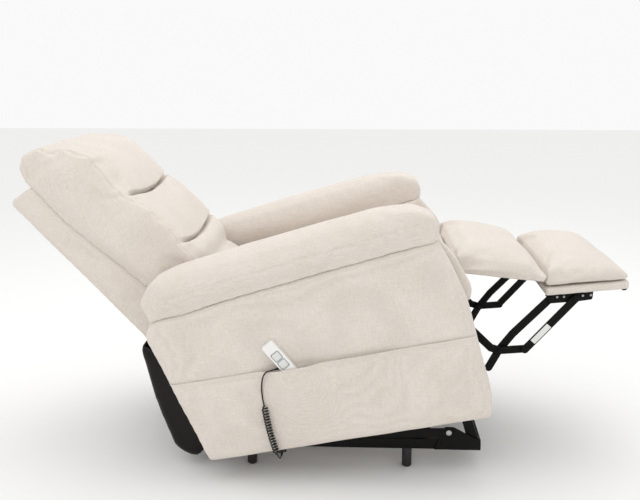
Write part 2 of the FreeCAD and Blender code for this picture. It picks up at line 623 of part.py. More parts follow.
tube_reach = mech_plate_y + size("mech_plate_thickness") / 2 + 1
tube = rod("torque_tube", "Sizes.drive_tube_radius", drive_pivot[0], drive_pivot[1],
           -(drive_link_y - size("link_thickness") / 2), drive_link_y - size("link_thickness") / 2, TILT)
ends = []
for side, sign in SIDES:
    low, high = sorted((sign * (drive_link_y + size("link_thickness") / 2), sign * tube_reach))
    ends.append(rod(f"tube_end_{side}", "Sizes.drive_tube_radius", drive_pivot[0], drive_pivot[1], low, high,
                    TILT))
node("drive_tube", group("drive_tube_set", [tube] + ends))


def rivets(label, at, inner, outer):
    """One headed rivet a side, from the inner layer's inside to the outer layer's outside."""
    made = []
    half_t = size("link_thickness") / 2
    for side, sign in SIDES:
        start, stop = inner - half_t - 0.6, outer + half_t + 0.6
        low, high = sorted((sign * start, sign * stop))
        shank = rod(f"{label}_shank_{side}", "Sizes.rivet_radius", at[0], at[1], low, high, TILT)
        heads = []
        head = size("rivet_head")
        for i, (near, far) in enumerate(((stop, stop + head), (start - head, start))):
            low, high = sorted((sign * near, sign * far))
            heads.append(rod(f"{label}_head_{side}_{i}", "Sizes.rivet_head_radius", at[0], at[1], low, high,
                             TILT))
        made.append(fuse(f"{label}_{side}", [shank] + heads))
    return made


node("drive_rivets", group("drive_rivet_set", rivets("cross_rivet", cross_pivot, long_link_y, drive_link_y)
                           + rivets("hook_rivet", hook_pivot, drive_link_y, short_link_y)))
node("foot_rivets", group("foot_rivet_set", rivets("long_rivet", long_top_pivot, long_link_y, drive_link_y)
                          + rivets("short_rivet", short_top_pivot, drive_link_y, short_link_y)))

# ---------------------------------------------------------------- pocket, handset and its lead
skin = size("pocket_cloth")
slack = size("pocket_slack")
bulge = size("handset_thickness") + size("pocket_ease")
outer_y = -panel_outer
pocket_place = TILT * shift(0, 0, size("pocket_mouth_height") - size("pocket_depth"))
flap_plan = [(-183, outer_y), (-176, outer_y - bulge - skin, 8), (-62, outer_y - bulge - skin, 12),
             (-30, outer_y - slack - skin, 12), (160, outer_y - slack - skin, 6), (170, outer_y),
             (170 - skin, outer_y), (160 - skin, outer_y - slack, 4), (-32, outer_y - slack, 12),
             (-64, outer_y - bulge, 12), (-176 + skin, outer_y - bulge, 6), (-183 + skin, outer_y)]
flap = pad("flap_wall", "XY_Plane", [flap_plan], "Sizes.pocket_depth", pocket_place)
floor_plan = [(-183, outer_y), (-176, outer_y - bulge - skin, 8), (-62, outer_y - bulge - skin, 12),
              (-30, outer_y - slack - skin, 12), (160, outer_y - slack - skin, 6), (170, outer_y)]
flap_floor = pad("flap_floor", "XY_Plane", [floor_plan], "Sizes.pocket_cloth", pocket_place)
node("pocket", fuse("pocket_all", [flap, flap_floor]))

handset_y = outer_y - size("handset_thickness") - size("handset_back_gap")
HAND = TILT * Placement(Vector(size("handset_u"), handset_y, size("handset_w")),
                        Rotation(Vector(0, 1, 0), size("handset_lean")))
hand_half = size("handset_width") / 2
top_end = size("handset_length") - size("handset_drop")
button = size("button_size")
button_rows = {"up": top_end - size("button_up_from_top"), "down": top_end - size("button_down_from_top")}
case = pad("handset_case", "XZ_Plane",
           [[(-hand_half, -size("handset_drop"), 8), (hand_half, -size("handset_drop"), 8),
             (hand_half, top_end, 5), (-hand_half, top_end, 5)]],
           "Sizes.handset_thickness", HAND * shift(0, size("handset_thickness"), 0))
wells = []
for name, at in button_rows.items():
    well = doc.addObject("Part::Box", f"well_{name}")
    well.setExpression("Length", "Sizes.button_size + 2*Sizes.button_gap")
    well.setExpression("Height", "Sizes.button_size + 2*Sizes.button_gap")
    well.setExpression("Width", "Sizes.well_depth + 1")
    half_well = button / 2 + size("button_gap")
    well.Placement = HAND * shift(-half_well, -1, at - half_well)
    wells.append(well)
node("handset", cut("handset_cut", case, fuse("wells", wells)))
for name, at in button_rows.items():
    face = [(-button / 2, at - button / 2, 4), (button / 2, at - button / 2, 4),
            (button / 2, at + button / 2, 4), (-button / 2, at + button / 2, 4)]
    node(f"button_{name}", pad(f"key_{name}", "XZ_Plane", [face], "Sizes.button_depth",
                               HAND * shift(0, size("button_depth") - size("button_proud"), 0)))


def lead(label, points, radius):
    """A cord's tube: straight runs joined by arcs as large as the two runs beside them allow."""
    spots = [Vector(*p) for p in points]
    edges, here, length, radii = [], spots[0], 0.0, []
    for before, corner, after in zip(spots, spots[1:], spots[2:]):
        a, b = (before - corner), (after - corner)
        shorter = min(a.Length, b.Length)
        a, b = a.normalize(), b.normalize()
        turn = math.pi - a.getAngle(b)
        trim = 0.45 * shorter
        bend = trim / math.tan(turn / 2)
        radii.append(round(bend, 1))
        first, last = corner + a * trim, corner + b * trim
        middle = (a + b).normalize()
        top = corner + middle * (bend / math.cos(turn / 2) - bend)
        edges.append(Part.LineSegment(here, first).toShape())
        edges.append(Part.Arc(first, top, last).toShape())
        here = last
    edges.append(Part.LineSegment(here, spots[-1]).toShape())
    path = Part.Wire(edges)
    direction = (spots[1] - spots[0]).normalize()
    ring = Part.Wire(Part.makeCircle(radius, spots[0], direction))
    tube = path.makePipeShell([ring], True, False)
    holder = doc.addObject("Part::Feature", label)
    holder.Shape = tube
    ideal = math.pi * radius ** 2 * path.Length
    print(label, "length", round(path.Length, 1), "radii", radii, "volume ratio", round(tube.Volume / ideal, 4))
    return holder


# the lead leaves the handset's lower left edge, crosses the pocket mouth and drops to the curl
def beside(route):
    """A route given as (x, distance outside the panel, z), as points of the floor frame."""
    return [(x, outer_y - out, z) for x, out, z in route]


lead_route = beside([(-103.8, 13.9, 350.6), (-113.0, 22.0, 350.0), (-127.0, 26.0, 347.5), (-140.5, 24.0, 341.5),
                     (-148.5, 17.5, 325.0), (-152.0, 12.0, 304.0), (-152.5, 10.5, 284.0), (-150.0, 11.5, 263.0),
                     (-146.0, 13.5, 243.0)])
curl_route = beside([(-146.0, 13.5, 243.0), (-139.0, 15.0, 207.0), (-131.0, 15.5, 169.0), (-120.5, 15.0, 131.0),
                     (-111.0, 13.0, 101.0)])
tail_route = beside([(-110.8, 12.96, 100.4), (-107.5, 7.0, 89.0), (-105.0, -6.0, 81.0), (-104.0, -23.0, 79.5),
                     (-103.0, -37.0, 81.5)])
node("handset_lead", lead("lead_upper", lead_route, size("lead_radius")))
node("curly_lead", lead("lead_curl", curl_route, size("coil_radius")))
node("lead_tail", lead("lead_lower", tail_route, size("lead_radius")))
socket = doc.addObject("Part::Box", "socket_block")
socket.setExpression("Length", "Sizes.socket_length")
socket.setExpression("Width", "Sizes.socket_width")
socket.setExpression("Height", "Sizes.socket_height")
socket_at = level((tail_route[-1][0], tail_route[-1][2]))
socket.Placement = TILT * shift(socket_at[0] - size("socket_length") / 2, outer_y + size("socket_inset"),
                                floor_gap - size("socket_height"))
node("lead_socket", socket)

# ---------------------------------------------------------------- check and export
doc.recompute()
faults = [item.Label for item in doc.Objects if "Invalid" in item.State or "Error" in item.State]
for item in nodes:
    if item.Shape.isNull() or not item.Shape.isValid() or not item.Shape.Solids:
        faults.append(item.Label + " shape")
if faults:
    raise RuntimeError("these did not build: " + ", ".join(faults))
os.makedirs("parts", exist_ok=True)
for item in nodes:
    item.Shape.exportStep(os.path.join("parts", item.Label + ".step"))
print(len(nodes), "sub-parts")
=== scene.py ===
import math

import bmesh
import bpy
import numpy as np
from mathutils import Matrix, Vector, noise
from mathutils.bvhtree import BVHTree


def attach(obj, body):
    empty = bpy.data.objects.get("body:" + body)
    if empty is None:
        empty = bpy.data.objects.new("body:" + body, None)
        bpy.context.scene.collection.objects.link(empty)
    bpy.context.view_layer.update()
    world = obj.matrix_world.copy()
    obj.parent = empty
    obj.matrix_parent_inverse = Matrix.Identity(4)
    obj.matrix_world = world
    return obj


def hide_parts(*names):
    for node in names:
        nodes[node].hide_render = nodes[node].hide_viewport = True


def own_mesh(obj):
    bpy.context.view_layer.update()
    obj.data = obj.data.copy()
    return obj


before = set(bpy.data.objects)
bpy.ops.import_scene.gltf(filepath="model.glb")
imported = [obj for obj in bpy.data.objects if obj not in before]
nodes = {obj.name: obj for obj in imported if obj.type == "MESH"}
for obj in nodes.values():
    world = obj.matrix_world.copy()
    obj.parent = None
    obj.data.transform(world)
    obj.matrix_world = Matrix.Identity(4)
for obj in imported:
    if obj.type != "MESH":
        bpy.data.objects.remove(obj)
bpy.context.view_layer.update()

# ---------------------------------------------------------------------------------------------
# Steel frame, lift and footrest linkages: stamped bars and welded tubes with their sheared
# edges broken, in black powder coat. The rivets are coated with the links, the lift's pins are
# zinc plated, and the feet are black nylon pressed into the rails.
def linear(code):
    """A hex sRGB colour as linear light."""
    parts = [int(code[i:i + 2], 16) / 255 for i in (0, 2, 4)]
    light = [c / 12.92 if c <= 0.04045 else ((c + 0.055) / 1.055) ** 2.4 for c in parts]
    return (*light, 1.0)


def add(tree, kind, settings=None, links=None):
    """One node with its settings and the links into it."""
    made = tree.nodes.new(kind)
    for name, value in (settings or {}).items():
        if isinstance(name, int) or name in made.inputs:
            made.inputs[name].default_value = value
        else:
            setattr(made, name, value)
    for socket, source in (links or {}).items():
        tree.links.new(source, made.inputs[socket])
    return made


def material(name):
    """A new material with its tree emptied, and its Principled shader and output in place."""
    made = bpy.data.materials.new(name)
    made.use_nodes = True
    tree = made.node_tree
    tree.nodes.clear()
    shader = add(tree, "ShaderNodeBsdfPrincipled")
    add(tree, "ShaderNodeOutputMaterial", links={"Surface": shader.outputs["BSDF"]})
    return made, tree, shader


def noise_fac(tree, spot, scale, detail=3.0):
    """A 0-1 noise pattern. The scale is in cells per metre."""
    made = add(tree, "ShaderNodeTexNoise", {"Scale": scale, "Detail": detail}, {"Vector": spot})
    return made.outputs["Fac"]


def ranged(tree, source, low, high, start=0.3, stop=0.7):
    """A 0-1 pattern spread between two values."""
    spread = {"From Min": start, "From Max": stop, "To Min": low, "To Max": high}
    return add(tree, "ShaderNodeMapRange", spread, {"Value": source}).outputs["Result"]


def two_tone(tree, source, first, second):
    """Two colours mixed by a 0-1 pattern."""
    colours = {"data_type": "RGBA", 6: linear(first), 7: linear(second)}
    return add(tree, "ShaderNodeMix", colours, {0: source}).outputs[2]


def dents(tree, source, strength, depth, below=None):
    """A bump of a given depth in metres."""
    links = {"Height": source}
    if below is not None:
        links["Normal"] = below
    return add(tree, "ShaderNodeBump", {"Strength": strength, "Distance": depth},
               links).outputs["Normal"]


# Powder coat: black with the fine orange peel of baked powder and slightly greyed handling marks.
powder, tree, shader = material("black_powder_coat")
spot = add(tree, "ShaderNodeTexCoord").outputs["Object"]
scuffs = noise_fac(tree, spot, 35.0, 6.0)
tree.links.new(two_tone(tree, ranged(tree, scuffs, 0.0, 1.0, 0.45, 0.75), "060504", "100E0C"),
               shader.inputs["Base Color"])
tree.links.new(ranged(tree, scuffs, 0.42, 0.6), shader.inputs["Roughness"])
shader.inputs["Specular IOR Level"].default_value = 0.16
tree.links.new(dents(tree, noise_fac(tree, spot, 900.0, 1.0), 0.25, 0.0002),
               shader.inputs["Normal"])

# Zinc plate: bright grey with the faint cloudiness of a passivated finish.
zinc, tree, shader = material("zinc_plated_steel")
spot = add(tree, "ShaderNodeTexCoord").outputs["Object"]
cloud = noise_fac(tree, spot, 160.0, 4.0)
shader.inputs["Metallic"].default_value = 1.0
tree.links.new(two_tone(tree, cloud, "9A9B9C", "C4C5C4"), shader.inputs["Base Color"])
tree.links.new(ranged(tree, cloud, 0.25, 0.45), shader.inputs["Roughness"])

# Moulded nylon: black, satin, with a fine spark-eroded grain.
nylon, tree, shader = material("black_moulded_nylon")
spot = add(tree, "ShaderNodeTexCoord").outputs["Object"]
shader.inputs["Base Color"].default_value = linear("131211")
tree.links.new(ranged(tree, noise_fac(tree, spot, 60.0), 0.4, 0.58), shader.inputs["Roughness"])
tree.links.new(dents(tree, noise_fac(tree, spot, 1500.0, 2.0), 0.2, 0.0001),
               shader.inputs["Normal"])

# Plywood and pine rails: pale wood with grain lines running along the board.
plywood, tree, shader = material("pine_plywood")
spot = add(tree, "ShaderNodeTexCoord").outputs["Object"]
grain_stretch = {"operation": "MULTIPLY", 1: (8.0, 8.0, 160.0)}
stretched = add(tree, "ShaderNodeVectorMath", grain_stretch, {0: spot})
grain = noise_fac(tree, stretched.outputs[0], 1.0, 5.0)
tree.links.new(two_tone(tree, ranged(tree, grain, 0.0, 1.0), "A87F4E", "D2AE7B"),
               shader.inputs["Base Color"])
shader.inputs["Roughness"].default_value = 0.7
tree.links.new(dents(tree, grain, 0.2, 0.0003), shader.inputs["Normal"])


def link_object(name, mesh):
    """A new object in the scene, holding the mesh."""
    made = bpy.data.objects.new(name, mesh)
    bpy.context.scene.collection.objects.link(made)
    return made


def from_bmesh(name, bm):
    """A new object from a bmesh, with its normals turned outward."""
    bmesh.ops.recalc_face_normals(bm, faces=bm.faces)
    mesh = bpy.data.meshes.new(name)
    bm.to_mesh(mesh)
    bm.free()
    return link_object(name, mesh)


def smooth_by_angle(piece, angle=32.0):
    """Smooth shading with edges sharper than the angle kept crisp."""
    piece.data.shade_smooth()
    piece.data.set_sharp_from_angle(angle=math.radians(angle))


def softened(node, body, paint, edge):
    """A frame piece with its edges broken by a small round of the given size in metres."""
    bm = bmesh.new()
    bm.from_mesh(nodes[node].data)
    bmesh.ops.remove_doubles(bm, verts=bm.verts, dist=0.00002)
    bmesh.ops.dissolve_limit(bm, angle_limit=math.radians(2), verts=bm.verts, edges=bm.edges)
    sharp = [e for e in bm.edges
             if len(e.link_faces) == 2 and e.calc_face_angle(0) > math.radians(40)]
    bmesh.ops.bevel(bm, geom=sharp, offset=edge, segments=2, profile=0.5, affect="EDGES",
                    clamp_overlap=True, material=-1)
    piece = from_bmesh(node + "_part", bm)
    piece.data.materials.append(paint)
    smooth_by_angle(piece)
    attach(piece, body)
    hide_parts(node)
    return piece


BAR_EDGE, PIN_EDGE, MOULDED_EDGE, BOARD_EDGE = 0.0012, 0.0007, 0.002, 0.0015
for node, body in (("base_rail_left", "base"), ("base_rail_right", "base"),
                   ("base_front_tube", "base"), ("base_rear_tube", "base"),
                   ("base_upright_left", "base"), ("base_upright_right", "base"),
                   ("base_pivot_plates", "base"), ("motor_bracket", "base"),
                   ("lift_arm_left", "lift_arms"), ("lift_arm_right", "lift_arms"),
                   ("lift_cross_tube", "lift_arms"), ("upper_link_left", "upper_links"),
                   ("upper_link_right", "upper_links"), ("lift_plates", "chair"),
                   ("mechanism_plates", "chair"), ("recline_brackets", "back"),
                   ("drive_link_left", "drive_links"), ("drive_link_right", "drive_links"),
                   ("drive_tube", "drive_links"), ("long_link_left", "long_links"),
                   ("long_link_right", "long_links"), ("short_link_left", "short_links"),
                   ("short_link_right", "short_links"), ("foot_bracket_left", "footboard"),
                   ("foot_bracket_right", "footboard")):
    softened(node, body, powder, BAR_EDGE)
for node, body in (("drive_rivets", "drive_links"), ("foot_rivets", "footboard")):
    softened(node, body, powder, PIN_EDGE)
for node, body in (("base_pins", "base"), ("lift_arm_pins", "lift_arms"), ("recline_pins", "chair"),
                   ("lift_motor_tube", "lift_motor"), ("lift_rod", "lift_rod")):
    softened(node, body, zinc, PIN_EDGE)
for node, body, slot_name in (("base_feet", "base", "rubber"),
                              ("lift_motor", "lift_motor", "black_plastic"),
                              ("lead_socket", "chair", "black_plastic")):
    softened(node, body, nylon, MOULDED_EDGE)
for node in ("side_boards", "rear_board"):
    softened(node, "chair", plywood, BOARD_EDGE)

# ---------------------------------------------------------------------------------------------
# Seat springs: five sinuous wires of 3.4 mm hard steel, clipped to the front and rear rails.
# Like the upholstery that follows they are drawn in the chair's level stance, and LEVEL tips
# them back onto the lift base.
LEVEL = Matrix.Translation((0.0928, 0, 0.0967)) @ Matrix.Rotation(math.radians(-10.5), 4, "Y")
SPRING_COUNT, SPRING_PITCH, SPRING_RADIUS = 5, 0.1064, 0.0017
SPRING_FROM, SPRING_TO, SPRING_W = -0.1448, 0.3446, 0.372
SPRING_WAVES, SPRING_SWING = 22, 0.021


def spline_curve(name, points, bevel=0.0):
    """A smooth open NURBS curve with the given control points."""
    data = bpy.data.curves.new(name, "CURVE")
    data.dimensions = "3D"
    line = data.splines.new("NURBS")
    line.points.add(len(points) - 1)
    for spot, place in zip(line.points, points):
        spot.co = (*place, 1.0)
    line.order_u = 3
    line.use_endpoint_u = True
    line.resolution_u = 4
    data.bevel_depth = bevel
    data.bevel_resolution = 3
    data.use_fill_caps = True
    made = bpy.data.objects.new(name, data)
    bpy.context.scene.collection.objects.link(made)
    return made


for i in range(SPRING_COUNT):
    middle = (i - SPRING_COUNT // 2) * SPRING_PITCH
    points = []
    for k in range(SPRING_WAVES * 4 + 1):
        share = k / (SPRING_WAVES * 4)
        ease = min(1.0, 8 * share, 8 * (1 - share))
        swing = math.sin(math.pi * k / 2) * SPRING_SWING * ease
        u = SPRING_FROM + (SPRING_TO - SPRING_FROM) * share
        points.append(LEVEL @ Vector((u, middle + swing, SPRING_W)))
    wire = spline_curve(f"seat_spring_{i}", [tuple(p) for p in points], SPRING_RADIUS)
    wire.data.materials.append(zinc)
    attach(wire, "chair")
    if i == 0:
        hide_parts("seat_springs")

# ---------------------------------------------------------------------------------------------
# Upholstery cloth: a pale oatmeal polyester in a linen-look weave. Thick and thin yarns run both
# ways as short slubs. The weave's 1.8 mm pitch is a little coarser than the real 1.2 mm.
SLUB_RUN, SLUB_FINE, WEAVE_SCALE = 55.0, 900.0, 174.5


def combined(tree, how, first, second):
    """Two patterns put together by a sum or a product."""
    return add(tree, "ShaderNodeMath", {"operation": how}, {0: first, 1: second}).outputs[0]


linen, tree, shader = material("linen_look_weave")
yarn_place = add(tree, "ShaderNodeAttribute", {"attribute_name": "cloth"}).outputs["Vector"]
slubs = None
for stretch in ((SLUB_RUN, SLUB_FINE, SLUB_FINE), (SLUB_FINE, SLUB_RUN, SLUB_FINE),
                (SLUB_FINE, SLUB_FINE, SLUB_RUN)):
    spread = add(tree, "ShaderNodeVectorMath", {"operation": "MULTIPLY", 1: stretch},
                 {0: yarn_place})
    yarn = noise_fac(tree, spread.outputs[0], 1.0, 2.0)
    slubs = yarn if slubs is None else combined(tree, "ADD", slubs, yarn)
cloud = noise_fac(tree, yarn_place, 9.0, 2.0)
tone = combined(tree, "ADD", ranged(tree, slubs, 0.05, 0.85, 1.1, 1.9),
                ranged(tree, cloud, -0.06, 0.1))
tree.links.new(two_tone(tree, tone, "CFC4B9", "ECE5DD"), shader.inputs["Base Color"])
waves = []
for way in "XYZ":
    bands = {"bands_direction": way, "Scale": WEAVE_SCALE, "Distortion": 0.8, "Detail": 1.0}
    waves.append(add(tree, "ShaderNodeTexWave", bands, {"Vector": yarn_place}).outputs["Fac"])
crossings = [combined(tree, "MULTIPLY", waves[i], waves[(i + 1) % 3]) for i in range(3)]
weave = combined(tree, "ADD", crossings[0], crossings[1])
weave = combined(tree, "ADD", weave, crossings[2])
tree.links.new(dents(tree, weave, 0.5, 0.0004, dents(tree, slubs, 0.35, 0.0005)),
               shader.inputs["Normal"])
shader.inputs["Roughness"].default_value = 0.92
shader.inputs["Sheen Weight"].default_value = 0.25
shader.inputs["Sheen Roughness"].default_value = 0.5
shader.inputs["Specular IOR Level"].default_value = 0.2


def rounded(corners):
    """An outline in mm, its corners (u, w) or (u, w, radius) drawn as points."""
    made = []
    for i, corner in enumerate(corners):
        here = Vector(corner[:2])
        if len(corner) == 2:
            made.append(here)
            continue
        before = (Vector(corners[i - 1][:2]) - here).normalized()
        after = (Vector(corners[(i + 1) % len(corners)][:2]) - here).normalized()
        half = before.angle(after) / 2
        reach = corner[2] / math.tan(half)
        centre = here + (before + after).normalized() * corner[2] / math.sin(half)
        start, stop = here + before * reach, here + after * reach
        for k in range(5):
            mid = start.lerp(stop, k / 4) - centre
            made.append(centre + mid.normalized() * corner[2])
    return made


def inset(points, gap):
    """The outline moved inward by a gap in mm."""
    area = sum(a.x * b.y - b.x * a.y for a, b in zip(points, points[1:] + points[:1]))
    turn = 1 if area > 0 else -1
    made = []
    for i, here in enumerate(points):
        a = (here - points[i - 1]).normalized()
        b = (points[(i + 1) % len(points)] - here).normalized()
        n = (Vector((-a.y, a.x)) + Vector((-b.y, b.x))) * turn
        if n.length < 1e-6:
            made.append(here)
            continue
        n.normalize()
        lean = max(0.5, n.dot(Vector((-a.y, a.x)) * turn))
        made.append(here + n * gap / lean)
    return made


def bulk(name, points, low, high, voxel, rounds):
    """A closed block between two Y planes, on an even grid, its edges rounded off by smoothing."""
    bm = bmesh.new()
    ends = [[bm.verts.new((p.x / 1000, y / 1000, p.y / 1000)) for p in points] for y in (low, high)]
    bm.faces.new(ends[0])
    bm.faces.new(ends[1][::-1])
    for i in range(len(points)):
        k = (i + 1) % len(points)
        bm.faces.new((ends[0][i], ends[1][i], ends[1][k], ends[0][k]))
    bmesh.ops.triangulate(bm, faces=[f for f in bm.faces if len(f.verts) > 4])
    block = from_bmesh(name, bm)
    remesh = block.modifiers.new("grid", "REMESH")
    remesh.mode = "VOXEL"
    remesh.voxel_size = voxel / 1000
    bpy.context.view_layer.update()
    graph = bpy.context.evaluated_depsgraph_get()
    mesh = bpy.data.meshes.new_from_object(block.evaluated_get(graph))
    old = block.data
    block.modifiers.clear()
    block.data = mesh
    mesh.name = name
    bpy.data.meshes.remove(old)
    relax(block, rounds)
    return block


def places_of(piece):
    """The piece's points, in metres."""
    co = np.zeros(len(piece.data.vertices) * 3)
    piece.data.vertices.foreach_get("co", co)
    return co.reshape(-1, 3)


def put(piece, co):
    """Sets the piece's points."""
    piece.data.vertices.foreach_set("co", co.ravel())
    piece.data.update()


def normals_of(piece):
    """The outward direction at each of the piece's points."""
    n = np.zeros(len(piece.data.vertices) * 3)
    piece.data.vertex_normals.foreach_get("vector", n)
    return n.reshape(-1, 3)


def relax(piece, rounds, where=None):
    """Evens out the surface by averaging each point with its neighbours."""
    edges = np.zeros(len(piece.data.edges) * 2, int)
    piece.data.edges.foreach_get("vertices", edges)
    a, b = edges.reshape(-1, 2).T
    co = places_of(piece)
    count = np.bincount(a, minlength=len(co)) + np.bincount(b, minlength=len(co))
    for _ in range(rounds):
        total = np.stack([np.bincount(a, co[b, i], len(co)) + np.bincount(b, co[a, i], len(co))
                          for i in range(3)], 1)
        step = (total / count[:, None] - co) * 0.5
        co += step if where is None else step * where[:, None]
    put(piece, co)


FILL_PRESSURE, FILL_FRAMES, QUICK_SHARE = 4.0, 20, 0.6


def inflate(piece, cap, tacked):
    """Blows the cover up like a filled cushion, held where it is tacked down, by at most cap mm."""
    start = places_of(piece)
    group = piece.vertex_groups.new(name="tacked")
    for i in np.nonzero(tacked > 0.02)[0]:
        group.add([int(i)], float(tacked[i]), "REPLACE")
    cloth = piece.modifiers.new("filling", "CLOTH")
    cloth.settings.quality = 4
    cloth.settings.use_pressure = True
    cloth.settings.uniform_pressure_force = FILL_PRESSURE
    cloth.settings.vertex_group_mass = "tacked"
    cloth.settings.effector_weights.gravity = 0.0
    cloth.collision_settings.use_collision = False
    cloth.point_cache.frame_start = 1
    cloth.point_cache.frame_end = FILL_FRAMES
    scene = bpy.context.scene
    for step in range(1, FILL_FRAMES + 1):
        scene.frame_set(step)
        graph = bpy.context.evaluated_depsgraph_get()
        piece.evaluated_get(graph)
    shape = piece.evaluated_get(graph).to_mesh()
    co = np.zeros(len(shape.vertices) * 3)
    shape.vertices.foreach_get("co", co)
    piece.evaluated_get(graph).to_mesh_clear()
    scene.frame_set(1)
    piece.modifiers.clear()
    piece.vertex_groups.clear()
    move = co.reshape(-1, 3) - start
    far = np.linalg.norm(move, axis=1)
    allowed = cap / 1000
    eased = allowed * np.tanh(far / allowed)
    put(piece, start + move * (eased / np.maximum(far, 1e-9))[:, None])


def refine(piece, chosen):
    """Splits the grid once more where points are chosen, so a crease can be narrow."""
    bm = bmesh.new()
    bm.from_mesh(piece.data)
    bm.verts.ensure_lookup_table()
    cut = [e for e in bm.edges if chosen[e.verts[0].index] and chosen[e.verts[1].index]]
    bmesh.ops.subdivide_edges(bm, edges=cut, cuts=1, use_grid_fill=True)
    bm.to_mesh(piece.data)
    bm.free()


def groove(piece, away, depth, width, pucker=0.0, reach=0.02):
    """Draws the cover in along a seam, away being each point's distance from it. Stitches pucker
    the cloth beside it."""
    co, n = places_of(piece), normals_of(piece)
    drop = depth * np.exp(-(away / width) ** 2)
    if pucker:
        close = np.nonzero(away < 3 * reach)[0]
        for i in close:
            p = Vector(co[i])
            ripple = noise.noise(p * 55.0) * 0.7 + noise.noise(p * 120.0 + Vector((5, 5, 5))) * 0.3
            drop[i] += pucker * ripple * math.exp(-away[i] / reach)
    put(piece, co - n * drop[:, None])


def undulate(piece, height, scale, seed):
    """Slow unevenness of stuffing under the cloth, in metres."""
    co, n = places_of(piece), normals_of(piece)
    lift = np.array([noise.noise(Vector(p) * scale + Vector((seed, seed, seed))) for p in co])
    put(piece, co + n * (lift * height)[:, None])


def upholster(piece, body, lean=0.0, level=1, paint=None,
              stands_for=()):
    """Lays the cloth's thread directions, tips the piece into the chair's stance and gives it its
    material and body."""
    turn = Matrix.Rotation(math.radians(lean), 3, "Y")
    grid = np.array(places_of(piece)) @ np.array(turn).T
    lay = piece.data.attributes.new("cloth", "FLOAT_VECTOR", "POINT")
    lay.data.foreach_set("vector", grid.astype(np.float32).ravel())
    piece.data.transform(LEVEL)
    piece.data.shade_smooth()
    piece.data.materials.append(paint or linen)
    if level:
        finer = piece.modifiers.new("finer", "SUBSURF")
        finer.levels = level
        finer.render_levels = level
    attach(piece, body)
    if stands_for:
        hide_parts(*stands_for)
    return piece


STITCH_PITCH = 0.0072
STITCH_SIZE = (0.0029, 0.00055, 0.00055, 1)


def stitches(name, piece, line, outward, body):
    """A row of thread along a line in the level stance, each stitch lying on the surface."""
    tree_of = BVHTree.FromPolygons([v.co.copy() for v in piece.data.vertices],
                                   [tuple(f.vertices) for f in piece.data.polygons])
    marks, left = [], 0.0
    for a, b in zip(line, line[1:]):
        a, b = Vector(a), Vector(b)
        run = (b - a).length
        while left < run:
            marks.append(a.lerp(b, left / run))
            left += STITCH_PITCH / 2
        left -= run
    laid = []
    for m in marks:
        hit = tree_of.ray_cast(m + Vector(outward) * 0.05, -Vector(outward), 0.12)[0]
        laid.append(hit)
    bm = bmesh.new()
    for k in range(0, len(laid) - 1, 2):
        a, b = laid[k], laid[k + 1]
        if a is None or b is None:
            continue
        mid, run = (a + b) / 2, (b - a)
        if run.length > STITCH_PITCH:
            continue
        turn = run.to_track_quat("X", "Z").to_matrix().to_4x4()
        place = Matrix.Translation(mid + Vector(outward) * 0.0001)
        place = place @ turn @ Matrix.Diagonal(STITCH_SIZE)
        bmesh.ops.create_icosphere(bm, subdivisions=1, radius=1.0, matrix=place)
    row = from_bmesh(name, bm)
    upholster(row, body, level=0, paint=thread)


# Sewing thread: spun polyester in the cloth's own colour, twisted.
thread, tree, shader = material("spun_polyester_thread")
spot = add(tree, "ShaderNodeTexCoord").outputs["Object"]
twist = add(tree, "ShaderNodeTexWave", {"Scale": 300.0, "bands_direction": "DIAGONAL"},
            {"Vector": spot})
tree.links.new(two_tone(tree, twist.outputs["Fac"], "C9BEB2", "DDD3C8"),
               shader.inputs["Base Color"])
tree.links.new(dents(tree, twist.outputs["Fac"], 0.3, 0.0002), shader.inputs["Normal"])
shader.inputs["Roughness"].default_value = 0.7

# ---------------------------------------------------------------------------------------------
# Side panels: board sides under thin wadding, covered edge to edge. On the right side the cloth
# is in two parts, and their seam is left open in the middle as the mouth of a pocket.
seam_line = [(315, 561), (303, 552), (169, 538), (-30, 517), (-211, 497), (-349, 476), (-468, 466)]
front_edge = [(393, 40), (403, 94, 40), (402, 152), (390, 253), (374, 382), (345, 483)]
panel_shape = [(-393, 40, 12)] + front_edge + seam_line + [(-497, 425, 8), (-446, 237)]
PANEL_INNER, PANEL_OUTER = 331, 413
PANEL_PUFF, PUFF_REACH = 0.004, 0.05
BOARD_FORWARD = 0.005
MOUTH_W = 0.282


def seam_height(u):
    """Height of the seam between arm pad and side panel, in metres, over the chair's length."""
    us = [p[0] / 1000 for p in seam_line[::-1]]
    ws = [p[1] / 1000 for p in seam_line[::-1]]
    return np.interp(u, us, ws)


def set_forward(piece, reach):
    """Draws the padded front of an arm forward by reach metres, most of all at its top. The pull
    starts 180 mm ahead of the chair's middle and 200 mm up."""
    co = places_of(piece)
    ahead = np.clip((co[:, 0] - 0.18) / 0.16, 0, 1)
    up = np.clip((co[:, 2] - 0.20) / 0.24, 0, 1)
    co[:, 0] += reach * ahead ** 2 * (3 - 2 * ahead) * up ** 2 * (3 - 2 * up)
    put(piece, co)


